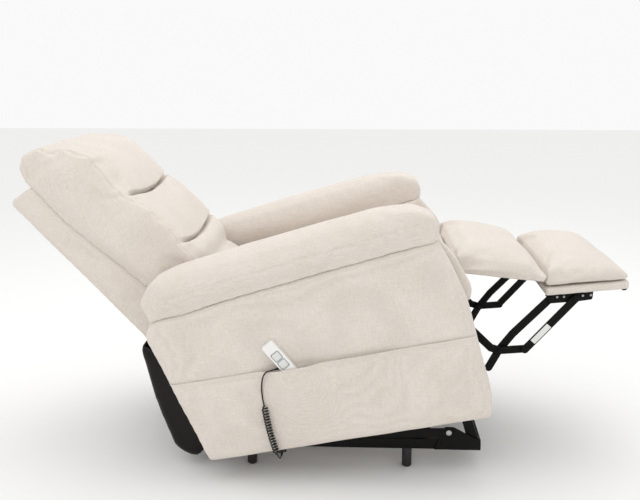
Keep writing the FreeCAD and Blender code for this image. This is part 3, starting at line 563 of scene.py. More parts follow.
for side, sign in (("left", 1), ("right", -1)):
    y_low, y_high = sorted((sign * PANEL_INNER, sign * PANEL_OUTER))
    panel = bulk(f"side_cover_{side}", inset(rounded(panel_shape), 1.0), y_low, y_high,
                 voxel=8, rounds=1)
    co = places_of(panel)
    relax(panel, 5, np.clip((seam_height(co[:, 0]) - co[:, 2]) / 0.03, 0.25, 1))

    # The top edge is tacked straight along the seam under the arm pad.
    co = places_of(panel)
    level_of = seam_height(co[:, 0])
    top_edge = (co[:, 2] > level_of - 0.0065) & (co[:, 0] < 0.312) & (co[:, 0] > -0.465)
    co[:, 2] = np.where(top_edge, level_of - 0.0012, co[:, 2])
    put(panel, co)

    # The wadding lifts the outer face, least of all near its edges.
    n = normals_of(panel)
    facing = np.clip(n[:, 1] * sign, 0, 1) ** 2
    edge_gap = np.minimum.reduce([np.clip(co[:, 2] - 0.04, 0, 1), seam_height(co[:, 0]) - co[:, 2],
                                  np.clip(0.39 - co[:, 0], 0, 1), np.clip(co[:, 0] + 0.45, 0, 1)])
    puff = PANEL_PUFF * (1 - np.exp(-np.clip(edge_gap, 0, 1) / PUFF_REACH))
    co[:, 1] += sign * facing * puff
    put(panel, co)
    undulate(panel, height=0.0016, scale=7.0, seed=3.0 + sign)

    # The right side's lower seam is the pocket's mouth, and the left side's is sewn shut.
    upright = np.abs(n[:, 1]) > 0.5
    if side == "right":
        right_panel = panel.data.copy()
        seam_gap = np.where(upright, np.abs(co[:, 2] - MOUTH_W - 0.002), 1.0)
        groove(panel, seam_gap, depth=0.0015, width=0.005)
    else:
        seam_gap = np.where(upright, np.abs(co[:, 2] - MOUTH_W), 1.0)
        groove(panel, seam_gap, depth=0.0016, width=0.005, pucker=0.0007, reach=0.02)
    set_forward(panel, BOARD_FORWARD)
    upholster(panel, "chair", stands_for=[f"side_panel_{side}"])

# The lower part of the right side's cloth, a skin over the panel. It is slack at the pocket, and
# the handset standing in it pushes it out.
SKIN_GAP, SKIN_WALL, SKIN_REACH = 0.0028, 0.0024, 0.24
HANDSET_FOLD, SLACK_FOLD, MOST_FOLD = 0.0235, 0.0085, 0.0245
HEM, HEM_ROW = 0.0012, 0.014
bm = bmesh.new()
bm.from_mesh(right_panel)
hidden = [f for f in bm.faces if f.normal.y > -0.25 or f.calc_center_median().z > MOUTH_W]
bmesh.ops.delete(bm, geom=hidden, context="FACES")
rim = [v for v in bm.verts if v.is_boundary and v.co.z > MOUTH_W - 0.012 and -0.46 < v.co.x < 0.38]
for v in rim:
    v.co.z = MOUTH_W
skin = from_bmesh("pocket_side", bm)
if normals_of(skin)[:, 1].mean() > 0:
    skin.data.flip_normals()
co = places_of(skin)
u, w = co[:, 0], co[:, 2]
below = np.clip((MOUTH_W - w) / SKIN_REACH, 0, 1)
hang = 0.5 + 0.5 * np.cos(np.pi * below)


def hump(value, low, high, ease):
    """1 between low and high and 0 outside, eased at both ends."""
    rise = 1 / (1 + np.exp(-(value - low) / ease))
    return rise * (1 / (1 + np.exp((value - high) / ease)))


def thicken(piece, thickness):
    """Gives a skin a real wall, on its inner side."""
    wall = piece.modifiers.new("thickness", "SOLIDIFY")
    wall.thickness = thickness
    wall.offset = -1.0
    bpy.context.view_layer.update()
    graph = bpy.context.evaluated_depsgraph_get()
    mesh = bpy.data.meshes.new_from_object(piece.evaluated_get(graph))
    piece.modifiers.clear()
    piece.data = mesh


fold_rear, fold_front = -0.183 + 0.03 * below, -0.052 + 0.05 * below
handset_fold = HANDSET_FOLD * hump(u, fold_rear, fold_front, 0.009 + 0.02 * below)
slack_fold = SLACK_FOLD * hump(u, -0.19, 0.165, 0.012)
shape = np.maximum(handset_fold * np.clip(1.25 * hang, 0, 1), slack_fold * hang)
shape = 0.6 * shape + 0.4 * (handset_fold + slack_fold * 0.4) * hang
co[:, 1] -= SKIN_GAP + np.minimum(shape, MOST_FOLD)
hem = HEM * np.exp(-((MOUTH_W - w) / 0.012) ** 4)
stitch = 0.0014 * np.exp(-((MOUTH_W - w - HEM_ROW) / 0.003) ** 2)
co[:, 1] -= hem - stitch
put(skin, co)
undulate(skin, height=0.0011, scale=16.0, seed=9.0)
thicken(skin, SKIN_WALL)
set_forward(skin, BOARD_FORWARD)
mouth_row = [(-0.19, -0.44, MOUTH_W - HEM_ROW), (0.175, -0.44, MOUTH_W - HEM_ROW)]
stitches("mouth_stitches", skin, mouth_row, (0, -1, 0), "chair")
upholster(skin, "chair", stands_for=["pocket"])

# ---------------------------------------------------------------------------------------------
# Inner arms: boards facing the seat, padded and covered with the same cloth, and screwed to the
# inside of the side panels.
INNER_FACE, INNER_FORWARD = 283, 0.006
inner_shape = [(-470, 345), (389, 352, 10), (396, 392, 30), (364, 483)] + seam_line
for side, sign in (("left", 1), ("right", -1)):
    y_low, y_high = sorted((sign * INNER_FACE, sign * PANEL_INNER))
    inner = bulk(f"inner_arm_{side}", inset(rounded(inner_shape), 1.5), y_low, y_high,
                 voxel=7, rounds=5)
    undulate(inner, height=0.0015, scale=9.0, seed=5.0 + sign)
    set_forward(inner, INNER_FORWARD)
    upholster(inner, "chair", stands_for=["inner_arm_panels"] if sign > 0 else ())

# ---------------------------------------------------------------------------------------------
# Arm pads: fat fibre-filled pads lying along the arms, tacked down along their lower seam. A row
# of stitching runs along the outside, 52 mm above the seam.
ARM_INNER, ARM_OUTER, ARM_FORWARD = 288, 419, 0.015
ARM_FILL = 24
ARM_ROW, STITCH_RISE = 0.052, 0.0025
SIDE_AT_SEAM, SIDE_SWELL = 0.4155, 0.0165
arm_shape = seam_line + [(-501, 519, 12), (-463, 565, 30), (-451, 579), (-354, 595), (-11, 635),
                         (221, 658), (271, 652, 20), (318, 623, 25), (331, 583, 20)]
for side, sign in (("left", 1), ("right", -1)):
    y_low, y_high = sorted((sign * ARM_INNER, sign * ARM_OUTER))
    drawn = rounded(arm_shape)
    start = [Vector(p) for p in seam_line] + inset(drawn, 8)[len(seam_line):]
    arm = bulk(f"arm_cushion_{side}", start, y_low, y_high, voxel=6.5, rounds=1)
    co = places_of(arm)
    above = co[:, 2] - seam_height(co[:, 0])
    relax(arm, 16, np.clip(above / 0.03, 0.05, 1))
    co = places_of(arm)
    above = co[:, 2] - seam_height(co[:, 0])
    inflate(arm, ARM_FILL, np.clip(1 - (above - 0.004) / 0.012, 0, 1))

    # The pad's outer side swells out from the seam and never past its widest line.
    co = places_of(arm)
    above = np.clip(co[:, 2] - seam_height(co[:, 0]), 0, 1)
    widest = SIDE_AT_SEAM + SIDE_SWELL * np.sin(np.clip(above / 0.055, 0, 1) * np.pi / 2) ** 0.8
    co[:, 1] = np.where(co[:, 1] * sign > widest, sign * widest, co[:, 1])
    put(arm, co)
    relax(arm, 2, np.clip(above / 0.02, 0, 1))

    # The lowest points are tacked straight along the seam.
    co = places_of(arm)
    level_of = seam_height(co[:, 0])
    co[:, 2] = np.where(co[:, 2] < level_of + 0.0065, level_of - 0.0005, co[:, 2])
    put(arm, co)
    n = normals_of(arm)
    stitched = np.abs(co[:, 2] - seam_height(co[:, 0]) - ARM_ROW)
    groove(arm, np.where(n[:, 1] * sign > 0.5, stitched, 1.0), depth=0.0012, width=0.004,
           pucker=0.0006, reach=0.012)
    undulate(arm, height=0.0022, scale=13.0, seed=7.0 + sign)
    stitch_line = [(u, sign * 0.43, float(seam_height(u)) + ARM_ROW + STITCH_RISE)
                   for u in np.linspace(-0.44, 0.29, 40)]
    set_forward(arm, ARM_FORWARD)
    stitches(f"arm_stitches_{side}", arm, stitch_line, (0, sign, 0), "chair")
    upholster(arm, "chair", stands_for=[f"arm_pad_{side}"])

# ---------------------------------------------------------------------------------------------
# Seat cushion: foam wrapped in fibre, sewn box fashion and lying on the springs. Its rear is
# hollowed round the recline pivot, so the back's lower roll turns clear of it.
PIVOT = np.array((-0.440, 0.330))
HOLLOW, SEAT_FILL, SEAT_HALF = 268, 12, 0.2785
HOLLOW_CLEAR = 0.2685
SIDE_SEAM, FRONT_SEAM = 0.262, 0.345


def on_nose(w):
    """The point (u, w) on the hollow's round at a given height, in mm."""
    return -440 + math.sqrt(HOLLOW ** 2 - (w - 330) ** 2), w


seat_shape = [on_nose(386), (370, 386, 12), (384, 406, 12), (386, 434, 20), (377, 469, 20),
              (293, 479), (0, 478), on_nose(471), on_nose(430)]
seat = bulk("seat_pad", inset(rounded(seat_shape), 5), -271, 271, voxel=9, rounds=7)
co = places_of(seat)
inflate(seat, SEAT_FILL, np.clip(1 - (co[:, 2] - 0.395) / 0.01, 0, 1))
co, n = places_of(seat), normals_of(seat)
edge = np.where(np.abs(n[:, 2]) > 0.35, np.abs(np.abs(co[:, 1]) - SIDE_SEAM), 1.0)
across = np.where(co[:, 2] > 0.45, np.abs(co[:, 0] - FRONT_SEAM), 1.0)
groove(seat, np.minimum(edge, across), depth=0.003, width=0.006, pucker=0.001, reach=0.02)
undulate(seat, height=0.003, scale=8.0, seed=11.0)
co = places_of(seat)
out = co[:, [0, 2]] - PIVOT
far = np.linalg.norm(out, axis=1)
near = far < HOLLOW_CLEAR
co[near, 0] = PIVOT[0] + out[near, 0] / far[near] * HOLLOW_CLEAR
co[near, 2] = PIVOT[1] + out[near, 1] / far[near] * HOLLOW_CLEAR
co[:, 1] = np.clip(co[:, 1], -SEAT_HALF, SEAT_HALF)
put(seat, co)
upholster(seat, "chair", stands_for=["seat_cushion"])

# Front rail: a pine board under the seat's front, wrapped in the same cloth.
rail_shape = [Vector(p) for p in ((345, 356), (366, 356), (366, 385), (345, 385))]
rail = bulk("front_rail", rail_shape, -281, 281, voxel=4.5, rounds=2)
undulate(rail, height=0.0006, scale=20.0, seed=37.0)
upholster(rail, "chair", stands_for=["front_board"])

# ---------------------------------------------------------------------------------------------
# Outer back: a board box under the same cloth, carrying the stuffed front. It hangs on the two
# recline pins by a steel bracket at each side.
shell_shape = [(-828, 834, 10), (-535, 385, 20), (-505, 300, 15), (-420, 292, 20), (-400, 320),
               (-398, 415), (-440, 466), (-507, 545), (-598, 652), (-683, 753), (-753, 868, 10)]
shell = bulk("outer_back", inset(rounded(shell_shape), 1.0), -270, 270, voxel=8, rounds=2)
undulate(shell, height=0.0018, scale=8.0, seed=13.0)
upholster(shell, "back", lean=-38.0, stands_for=["back_frame"])

# ---------------------------------------------------------------------------------------------
# Stuffed back: one cover blown full of fibre. Two deep tucks across it part the head, middle and
# lumbar rolls, and a seam each side joins the front to the side gussets.
NOSE = 265
ROLLS_FILL, ROLLS_HALF, NOSE_CLEAR = 24, 0.2775, 0.2652
CROWN, CROWN_FALL, SEATED = 0.041, 0.011, 0.007
TUCK_DROOP, TUCK_DEPTH, TUCK_HALF, TUCK_PINCH = 0.022, 0.038, 0.014, 0.93
GUSSET_SEAM = 0.250
nose_points = [(-440 + NOSE * math.cos(math.radians(a)), 330 + NOSE * math.sin(math.radians(a)))
               for a in np.linspace(60, -4, 13)]
rolls_front = [(-752, 868), (-779, 876, 10), (-780, 925, 20), (-752, 976, 25), (-701, 993, 20),
               (-611, 983, 40), (-547, 950, 40), (-501, 884, 40), (-460, 819), (-412, 784, 30),
               (-372, 725, 30), (-340, 663), (-303, 606, 25)]
rolls_rear = [(-394, 322), (-396, 416), (-439, 467), (-506, 545), (-597, 653), (-682, 754)]
rolls_shape = rolls_front + nose_points + rolls_rear
drawn = rounded(rolls_shape)
start = inset(drawn, 5)
start[0] = drawn[0]
start[-len(rolls_rear):] = drawn[-len(rolls_rear):]
rolls = bulk("back_rolls", start, -263, 263, voxel=8, rounds=1)
TUCKS = (((-460, 819), (-637, 700)), ((-340, 663), (-506.5, 546)))


def tuck_weights(co):
    """Distance from each tuck's plane and depth behind the front surface, in metres."""
    found = []
    for (u0, w0), (u1, w1) in TUCKS:
        inward = np.array((u1 - u0, w1 - w0)) / math.hypot(u1 - u0, w1 - w0)
        across = np.array((-inward[1], inward[0]))
        rel = co[:, [0, 2]] - np.array((u0, w0)) / 1000
        droop = TUCK_DROOP * np.clip(1 - (co[:, 1] / 0.25) ** 2, 0, 1)
        found.append((rel @ across - droop, rel @ inward))
    return found


board = [(-752, 868), (-682, 754), (-597, 653), (-506, 545), (-439, 467), (-396, 416), (-394, 322)]


def behind(co):
    """Each point's distance in metres from the board the stuffing lies on."""
    gap = np.full(len(co), 9.0)
    for (ua, wa), (ub, wb) in zip(board, board[1:]):
        a, b = np.array((ua, wa)) / 1000, np.array((ub, wb)) / 1000
        rel = co[:, [0, 2]] - a
        share = np.clip(rel @ (b - a) / ((b - a) @ (b - a)), 0, 1)
        gap = np.minimum(gap, np.linalg.norm(rel - share[:, None] * (b - a), axis=1))
    return gap


# The stuffing is drawn in toward the board, a little less at the sides than in the middle.
relax(rolls, 9, np.clip(behind(places_of(rolls)) / 0.035, 0.06, 1))
co = places_of(rolls)
board_gap = behind(co)
INWARD = np.array((-0.830, -0.558))  # from the stuffing's front toward the board
crown = CROWN - CROWN_FALL * (np.abs(co[:, 1]) / 0.255) ** 2.6
crown = crown * np.clip((board_gap - 0.01) / 0.09, 0, 1)
co[:, 0] += INWARD[0] * crown
co[:, 2] += INWARD[1] * crown
put(rolls, co)

# It is blown full while the cover is held at the board and along the tucks.
hold = np.clip(1 - (board_gap - 0.006) / 0.01, 0, 1)
for off, deep in tuck_weights(co):
    line = np.clip(1.3 - np.abs(off) / 0.006, 0, 1) * (deep < 0.06) * (np.abs(co[:, 1]) < 0.235)
    hold = np.maximum(hold, line)
inflate(rolls, ROLLS_FILL, hold)
co = places_of(rolls)
seated = SEATED * np.clip(1 - behind(co) / 0.03, 0, 1)
co[:, 0] += INWARD[0] * seated
co[:, 2] += INWARD[1] * seated
co[:, 1] += np.sign(co[:, 1]) * seated * 0.7 * (np.abs(co[:, 1]) > 0.24)
put(rolls, co)

# The grid is finer along the tucks and the gusset seams, so that they can be narrow.
near = np.zeros(len(co), bool)
for off, deep in tuck_weights(co):
    near |= (np.abs(off) < 0.021) & (deep < 0.045) & (np.abs(co[:, 1]) < 0.262)
n = normals_of(rolls)
on_seam = np.abs(np.abs(co[:, 1]) - GUSSET_SEAM) < 0.010
near |= on_seam & (np.abs(n[:, 1]) < 0.93) & (board_gap > 0.05)
refine(rolls, near)
relax(rolls, 1)

# Each tuck is pulled in toward the board and its two lips are drawn together.
co = places_of(rolls)
for off, deep in tuck_weights(co):
    fade = np.clip((0.255 - np.abs(co[:, 1])) / 0.10, 0, 1) ** 0.8
    open_side = np.clip(1 - (deep - 0.03) / 0.06, 0, 1)
    drop = TUCK_DEPTH * fade * np.clip(1 - np.abs(off) / TUCK_HALF, 0, 1) ** 1.2 * open_side
    co[:, 0] += drop * INWARD[0]
    co[:, 2] += drop * INWARD[1]
    pinch = TUCK_PINCH * off * np.exp(-(off / 0.026) ** 2) * fade
    pinch = pinch * np.clip(1 - (deep - 0.02) / 0.05, 0, 1)
    co[:, 0] += pinch * INWARD[1]
    co[:, 2] -= pinch * INWARD[0]
put(rolls, co)
n = normals_of(rolls)
gusset = np.where(np.abs(n[:, 1]) < 0.9, np.abs(np.abs(co[:, 1]) - GUSSET_SEAM), 1.0)
seam_depth = np.interp(co[:, 2], [0.74, 0.84], [0.0024, 0.0042])
groove(rolls, gusset, seam_depth, width=0.0034, pucker=0.0034, reach=0.026)
undulate(rolls, height=0.0035, scale=9.0, seed=17.0)

# The lower roll keeps inside the seat's hollow, and the sides inside the arms.
co = places_of(rolls)
out = co[:, [0, 2]] - PIVOT
far = np.linalg.norm(out, axis=1)
turn = np.degrees(np.arctan2(out[:, 1], out[:, 0]))
over = (far > NOSE_CLEAR) & (turn < 60.5) & (co[:, 0] > -0.39)
co[over, 0] = PIVOT[0] + out[over, 0] / far[over] * NOSE_CLEAR
co[over, 2] = PIVOT[1] + out[over, 1] / far[over] * NOSE_CLEAR
co[:, 1] = np.clip(co[:, 1], -ROLLS_HALF, ROLLS_HALF)
put(rolls, co)
upholster(rolls, "back", lean=-38.0,
          stands_for=["head_cushion", "middle_cushion", "lower_cushion"])

# ---------------------------------------------------------------------------------------------
# Calf pad: a soft bridging pad sewn to the seat front and the footrest board.
CALF_FILL, CALF_ROUND, CALF_SEAM = 17, 0.012, 0.012
calf_shape = [(368, 417, 3), (606, 348, 4), (619, 371, 8), (574, 418), (511, 443), (403, 478, 12),
              (368, 480, 8)]
calf = bulk("calf_cushion", inset(rounded(calf_shape), 0.5), -261, 261, voxel=7, rounds=1)


def above_board(co, u, w, slope, clear):
    """Height of each point over a cushion's sloping underside, less a clear strip, in metres."""
    return co[:, 2] - (w - (co[:, 0] - u) * slope) - clear


CALF_BOTTOM = (0.388, 0.411, 0.2907)
relax(calf, 4, np.clip((places_of(calf)[:, 0] - 0.368) / 0.03, 0.1, 1))
co = places_of(calf)
top_part = np.clip(above_board(co, *CALF_BOTTOM, 0.008) / 0.03, 0, 1)
co[:, 2] -= CALF_ROUND * (np.abs(co[:, 1]) / 0.26) ** 6 * top_part
put(calf, co)
inflate(calf, CALF_FILL, np.clip(1 - above_board(co, *CALF_BOTTOM, 0.006) / 0.01, 0, 1))
co, n = places_of(calf), normals_of(calf)
seam_gap = np.abs(above_board(co, *CALF_BOTTOM, CALF_SEAM))
groove(calf, np.where(np.abs(n[:, 1]) > 0.6, seam_gap, 1.0), depth=0.0016, width=0.004,
       pucker=0.0012, reach=0.015)
undulate(calf, height=0.0022, scale=12.0, seed=19.0)
upholster(calf, "calf", lean=16.0, stands_for=["calf_pad"])
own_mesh(calf)

# ---------------------------------------------------------------------------------------------
# Foot pad and board: a fibre-filled cushion tacked on a plywood board that is wrapped in the
# same cloth. The footrest brackets are screwed to the board's underside.
FOOT_FILL, FOOT_ROUND = 12, 0.008
FOOT_BOTTOM = (0.608, 0.3334, 0.08246)
foot_shape = [(602, 333.9), (836, 314.6), (842, 330, 6), (822, 357, 10), (786, 374), (703, 391),
              (652, 396), (612, 390, 10)]
foot = bulk("foot_cushion", inset(rounded(foot_shape), 3), -257, 257, voxel=7, rounds=5)
co = places_of(foot)
top_part = np.clip(above_board(co, *FOOT_BOTTOM, 0.008) / 0.03, 0, 1)
co[:, 2] -= FOOT_ROUND * (np.abs(co[:, 1]) / 0.257) ** 6 * top_part
put(foot, co)
inflate(foot, FOOT_FILL, np.clip(1 - above_board(co, *FOOT_BOTTOM, 0.006) / 0.01, 0, 1))
undulate(foot, height=0.002, scale=12.0, seed=23.0)
upholster(foot, "footboard", lean=5.0, stands_for=["foot_pad"])
wrap_shape = [(606, 332.5), (836, 313.5), (833.9, 289), (604, 308)]
wrapped = bulk("wrapped_board", inset([Vector(p) for p in wrap_shape], 0.5), -254.5, 254.5,
               voxel=5, rounds=2)
undulate(wrapped, height=0.0007, scale=20.0, seed=29.0)
upholster(wrapped, "footboard", lean=5.0, stands_for=["foot_board"])

# ---------------------------------------------------------------------------------------------
# Dust cover: black coated cloth bagged behind the mechanism, hanging in loose folds and stapled
# to the rear rails.

# Coated cloth: black, with a fine pebble grain and a soft shine.
vinyl, tree, shader = material("black_coated_cloth")
spot = add(tree, "ShaderNodeTexCoord").outputs["Object"]
pebble = noise_fac(tree, spot, 700.0, 2.0)
tree.links.new(two_tone(tree, noise_fac(tree, spot, 14.0, 4.0), "0A0807", "14110E"),
               shader.inputs["Base Color"])
shader.inputs["Specular IOR Level"].default_value = 0.22
tree.links.new(ranged(tree, noise_fac(tree, spot, 25.0), 0.26, 0.36), shader.inputs["Roughness"])
tree.links.new(dents(tree, pebble, 0.2, 0.0003), shader.inputs["Normal"])
COVER_HALF, COVER_WALL, COVER_FOLD = 311, 0.002, 0.004
OPEN_REACH = 0.007
opening = [(-449, 15), (-403, 48), (-417, 237), (-473, 343), (-538, 381)]
cover_back = [(-543, 383), (-545, 351, 30), (-535, 190), (-511, 54, 40), (-476, 24, 20)]
cover_outline = cover_back + opening
cover = bulk("dust_cover", rounded(cover_outline), -COVER_HALF, COVER_HALF, voxel=8, rounds=16)

# The bag is open toward the mechanism, where its rim is stapled.
bm = bmesh.new()
bm.from_mesh(cover.data)
inside = []
for face in bm.faces:
    middle = face.calc_center_median()
    for (ua, wa), (ub, wb) in zip(opening, opening[1:]):
        a, b = Vector((ua, wa)) / 1000, Vector((ub, wb)) / 1000
        spot = Vector((middle.x, middle.z))
        share = min(1.0, max(0.0, (spot - a).dot(b - a) / (b - a).length_squared))
        if (spot - a.lerp(b, share)).length < OPEN_REACH:
            inside.append(face)
            break
bmesh.ops.delete(bm, geom=inside, context="FACES")
bm.to_mesh(cover.data)
bm.free()
co = places_of(cover)
folds = np.array([noise.noise(Vector((p[0] * 3, p[1] * 16, p[2] * 4))) for p in co])
co += normals_of(cover) * (folds * COVER_FOLD)[:, None]
put(cover, co)
thicken(cover, COVER_WALL)
upholster(cover, "chair", paint=vinyl, stands_for=["rear_cover"])

# ---------------------------------------------------------------------------------------------
# Handset: a white ABS box in two halves with two soft keys, each in its own well. It stands in
# the side pocket.

# ABS: white, satin, with a fine moulded grain.
abs_plastic, tree, shader = material("white_abs")
spot = add(tree, "ShaderNodeTexCoord").outputs["Object"]
tree.links.new(two_tone(tree, noise_fac(tree, spot, 60.0, 3.0), "E6E5E1", "F1F0ED"),
               shader.inputs["Base Color"])
tree.links.new(ranged(tree, noise_fac(tree, spot, 140.0), 0.3, 0.42), shader.inputs["Roughness"])
tree.links.new(dents(tree, noise_fac(tree, spot, 2200.0, 1.0), 0.15, 0.0001),
               shader.inputs["Normal"])

# Silicone rubber keys: pale grey and matt, slightly darkened by handling.
keys_rubber, tree, shader = material("grey_key_rubber")
spot = add(tree, "ShaderNodeTexCoord").outputs["Object"]
tree.links.new(two_tone(tree, noise_fac(tree, spot, 90.0, 3.0), "D3D3D0", "DEDEDB"),
               shader.inputs["Base Color"])
tree.links.new(ranged(tree, noise_fac(tree, spot, 200.0), 0.5, 0.65), shader.inputs["Roughness"])

HANDSET_EDGE, KEY_EDGE = 0.003, 0.0012
softened("handset", "chair", abs_plastic, HANDSET_EDGE)
for which in ("up", "down"):
    softened(f"button_{which}", f"button_{which}", keys_rubber, KEY_EDGE)

HAND = LEVEL @ Matrix.Translation((-0.1245, -0.4375, 0.284))
HAND = HAND @ Matrix.Rotation(math.radians(-30), 4, "Y")
FRAME_INNER, FRAME_OUTER, FRAME_FOOT = 0.0117, 0.0129, 0.0131
FRAME_RISE, FRAME_SUNK = 0.0005, 0.0004


def rounded_square(half, radius, steps=5):
    """Corner points of a square with round corners, anticlockwise."""
    points = []
    for k, (sx, sz) in enumerate(((1, 1), (-1, 1), (-1, -1), (1, -1))):
        for j in range(steps + 1):
            angle = math.radians(90 * k + 90 * j / steps)
            points.append((sx * (half - radius) + radius * math.cos(angle),
                           sz * (half - radius) + radius * math.sin(angle)))
    return points


# Grey trim: pad-printed frames round the keys, slightly raised.
trim, tree, shader = material("grey_trim_ink")
spot = add(tree, "ShaderNodeTexCoord").outputs["Object"]
tree.links.new(two_tone(tree, noise_fac(tree, spot, 300.0), "8E9092", "A3A5A6"),
               shader.inputs["Base Color"])
shader.inputs["Roughness"].default_value = 0.45
for which, at in (("up", 0.043), ("down", 0.016)):
    bm = bmesh.new()
    loops = []
    for half, y in ((FRAME_INNER, FRAME_SUNK), (FRAME_INNER, -FRAME_RISE),
                    (FRAME_OUTER, -FRAME_RISE), (FRAME_FOOT, FRAME_SUNK)):
        loops.append([bm.verts.new((x, y, at + z)) for x, z in rounded_square(half, half * 0.37)])
    for a, b in zip(loops, loops[1:] + loops[:1]):
        for k in range(len(a)):
            j = (k + 1) % len(a)
            bm.faces.new((a[k], a[j], b[j], b[k]))
    ring = from_bmesh(f"key_frame_{which}", bm)
    ring.data.transform(HAND)
    ring.data.materials.append(trim)
    smooth_by_angle(ring)
    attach(ring, "chair")

# ---------------------------------------------------------------------------------------------
# Handset lead: 4 mm PVC-jacketed wire from the handset's lower left edge. It hangs down the
# side as a springy curl and goes back under the side into a socket.

# PVC wire jacket: black, satin, with faint handling marks that break up its shine.
jacket, tree, shader = material("pvc_wire_jacket")
shader.inputs["Base Color"].default_value = linear("0F0E0D")
spot = add(tree, "ShaderNodeTexCoord").outputs["Object"]
tree.links.new(ranged(tree, noise_fac(tree, spot, 220.0), 0.32, 0.5, 0.0, 1.0),
               shader.inputs["Roughness"])

LEAD = 0.004
CURL_RADIUS = 0.0095 - LEAD / 2
CURL_TURNS = 18
TURN_STEPS = 14
lead_points = [(-0.1038, -0.4289, 0.3506), (-0.1130, -0.4370, 0.3500), (-0.1270, -0.4410, 0.3475),
               (-0.1405, -0.4390, 0.3415), (-0.1485, -0.4325, 0.3250), (-0.1520, -0.4270, 0.3040),
               (-0.1525, -0.4255, 0.2840), (-0.1500, -0.4265, 0.2630), (-0.1460, -0.4285, 0.2430)]
curl_line = [(-0.1460, -0.4285, 0.2430), (-0.1390, -0.4300, 0.2070), (-0.1310, -0.4305, 0.1690),
             (-0.1205, -0.4300, 0.1310), (-0.1110, -0.4280, 0.1010)]
tail_points = [(-0.1108, -0.42796, 0.1004), (-0.1075, -0.4220, 0.0890), (-0.1050, -0.4090, 0.0810),
               (-0.1040, -0.3920, 0.0795), (-0.1030, -0.3780, 0.0815)]


def along(points):
    """Points and distances read from the smooth line through a route."""
    guide = spline_curve("guide", points)
    bpy.context.view_layer.update()
    mesh = bpy.data.meshes.new_from_object(guide)
    places = [v.co.copy() for v in mesh.vertices]
    bpy.data.objects.remove(guide)
    bpy.data.meshes.remove(mesh)
    marks = [0.0]
    for a, b in zip(places, places[1:]):
        marks.append(marks[-1] + (b - a).length)
    return places, marks


# The curl winds round its own line, opening out over its first turn and closing over its last.
places, marks = along(curl_line)
curl = []
steps = CURL_TURNS * TURN_STEPS
for i in range(steps + 1):
    share = i / steps
    far = share * marks[-1]
    k = next(j for j in range(1, len(marks)) if marks[j] >= far - 1e-9)
    here = places[k - 1].lerp(places[k], (far - marks[k - 1]) / (marks[k] - marks[k - 1]))
    forward = (places[k] - places[k - 1]).normalized()
    side = forward.cross(Vector((0, 1, 0))).normalized()
    up = side.cross(forward)
    turn = 2 * math.pi * i / TURN_STEPS
    swell = min(1.0, share * steps / TURN_STEPS, (1 - share) * steps / TURN_STEPS)
    curl.append(here + (side * math.cos(turn) + up * math.sin(turn)) * CURL_RADIUS * swell)
wire_points = lead_points[:-1] + [tuple(c) for c in curl] + tail_points[1:]
lead = spline_curve("handset_wire", wire_points, LEAD / 2)
lead.data.materials.append(jacket)
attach(lead, "chair")
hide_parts("handset_lead", "curly_lead", "lead_tail")

# Strain reliefs: short tapered rubber sleeves where the wire leaves the handset and the socket.
SLEEVE_LENGTH, SLEEVE_RADIUS, SLEEVE_TAPER = 0.017, 0.0036, 0.36
for where, route in (("handset", lead_points[:3]), ("socket", tail_points[::-1][:3])):
    spots = along(route)[0]
    sleeve_line, gone = [], 0.0
    for a, b in zip(spots, spots[1:]):
        sleeve_line.append(tuple(a))
        gone += (b - a).length
        if gone > SLEEVE_LENGTH:
            break
    sleeve = spline_curve(f"{where}_strain_relief", sleeve_line, SLEEVE_RADIUS)
    for k, point in enumerate(sleeve.data.splines[0].points):
        point.radius = 1.0 - SLEEVE_TAPER * k / (len(sleeve_line) - 1)
    sleeve.data.materials.append(jacket)
    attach(sleeve, "chair")

# ---------------------------------------------------------------------------------------------
# Sticker: a blank white vinyl label, about 66 mm long and 16 mm wide, glued to the outside of
# the right short link.

# Vinyl: white, satin, a little dulled where it was rubbed down.
vinyl_label, tree, shader = material("white_vinyl_label")
spot = add(tree, "ShaderNodeTexCoord").outputs["Object"]
tree.links.new(two_tone(tree, noise_fac(tree, spot, 45.0, 4.0), "DEDEDA", "EDEDEA"),
               shader.inputs["Base Color"])
tree.links.new(ranged(tree, noise_fac(tree, spot, 80.0), 0.3, 0.5), shader.inputs["Roughness"])
LABEL_SIZE = (0.066, 0.0003, 0.0165, 1)
link_slope = math.atan2(284.3 - 158.9, 686.8 - 526.7)
place = LEVEL @ Matrix.Translation((0.577, -0.2418, 0.1983)) @ Matrix.Rotation(-link_slope, 4, "Y")
bm = bmesh.new()
bmesh.ops.create_cube(bm, size=1.0, matrix=place @ Matrix.Diagonal(LABEL_SIZE))
label = from_bmesh("blank_label", bm)
label.data.materials.append(vinyl_label)
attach(label, "short_links")

# ---------------------------------------------------------------------------------------------
# Bumpers: two moulded rubber buttons pressed into the underside of the foot board, near its
# front corners. They keep the folded board off the front rail.

BUMPER_TIP, BUMPER_FOOT, BUMPER_HEIGHT, BUMPER_EDGE = 0.0065, 0.0085, 0.005, 0.0009

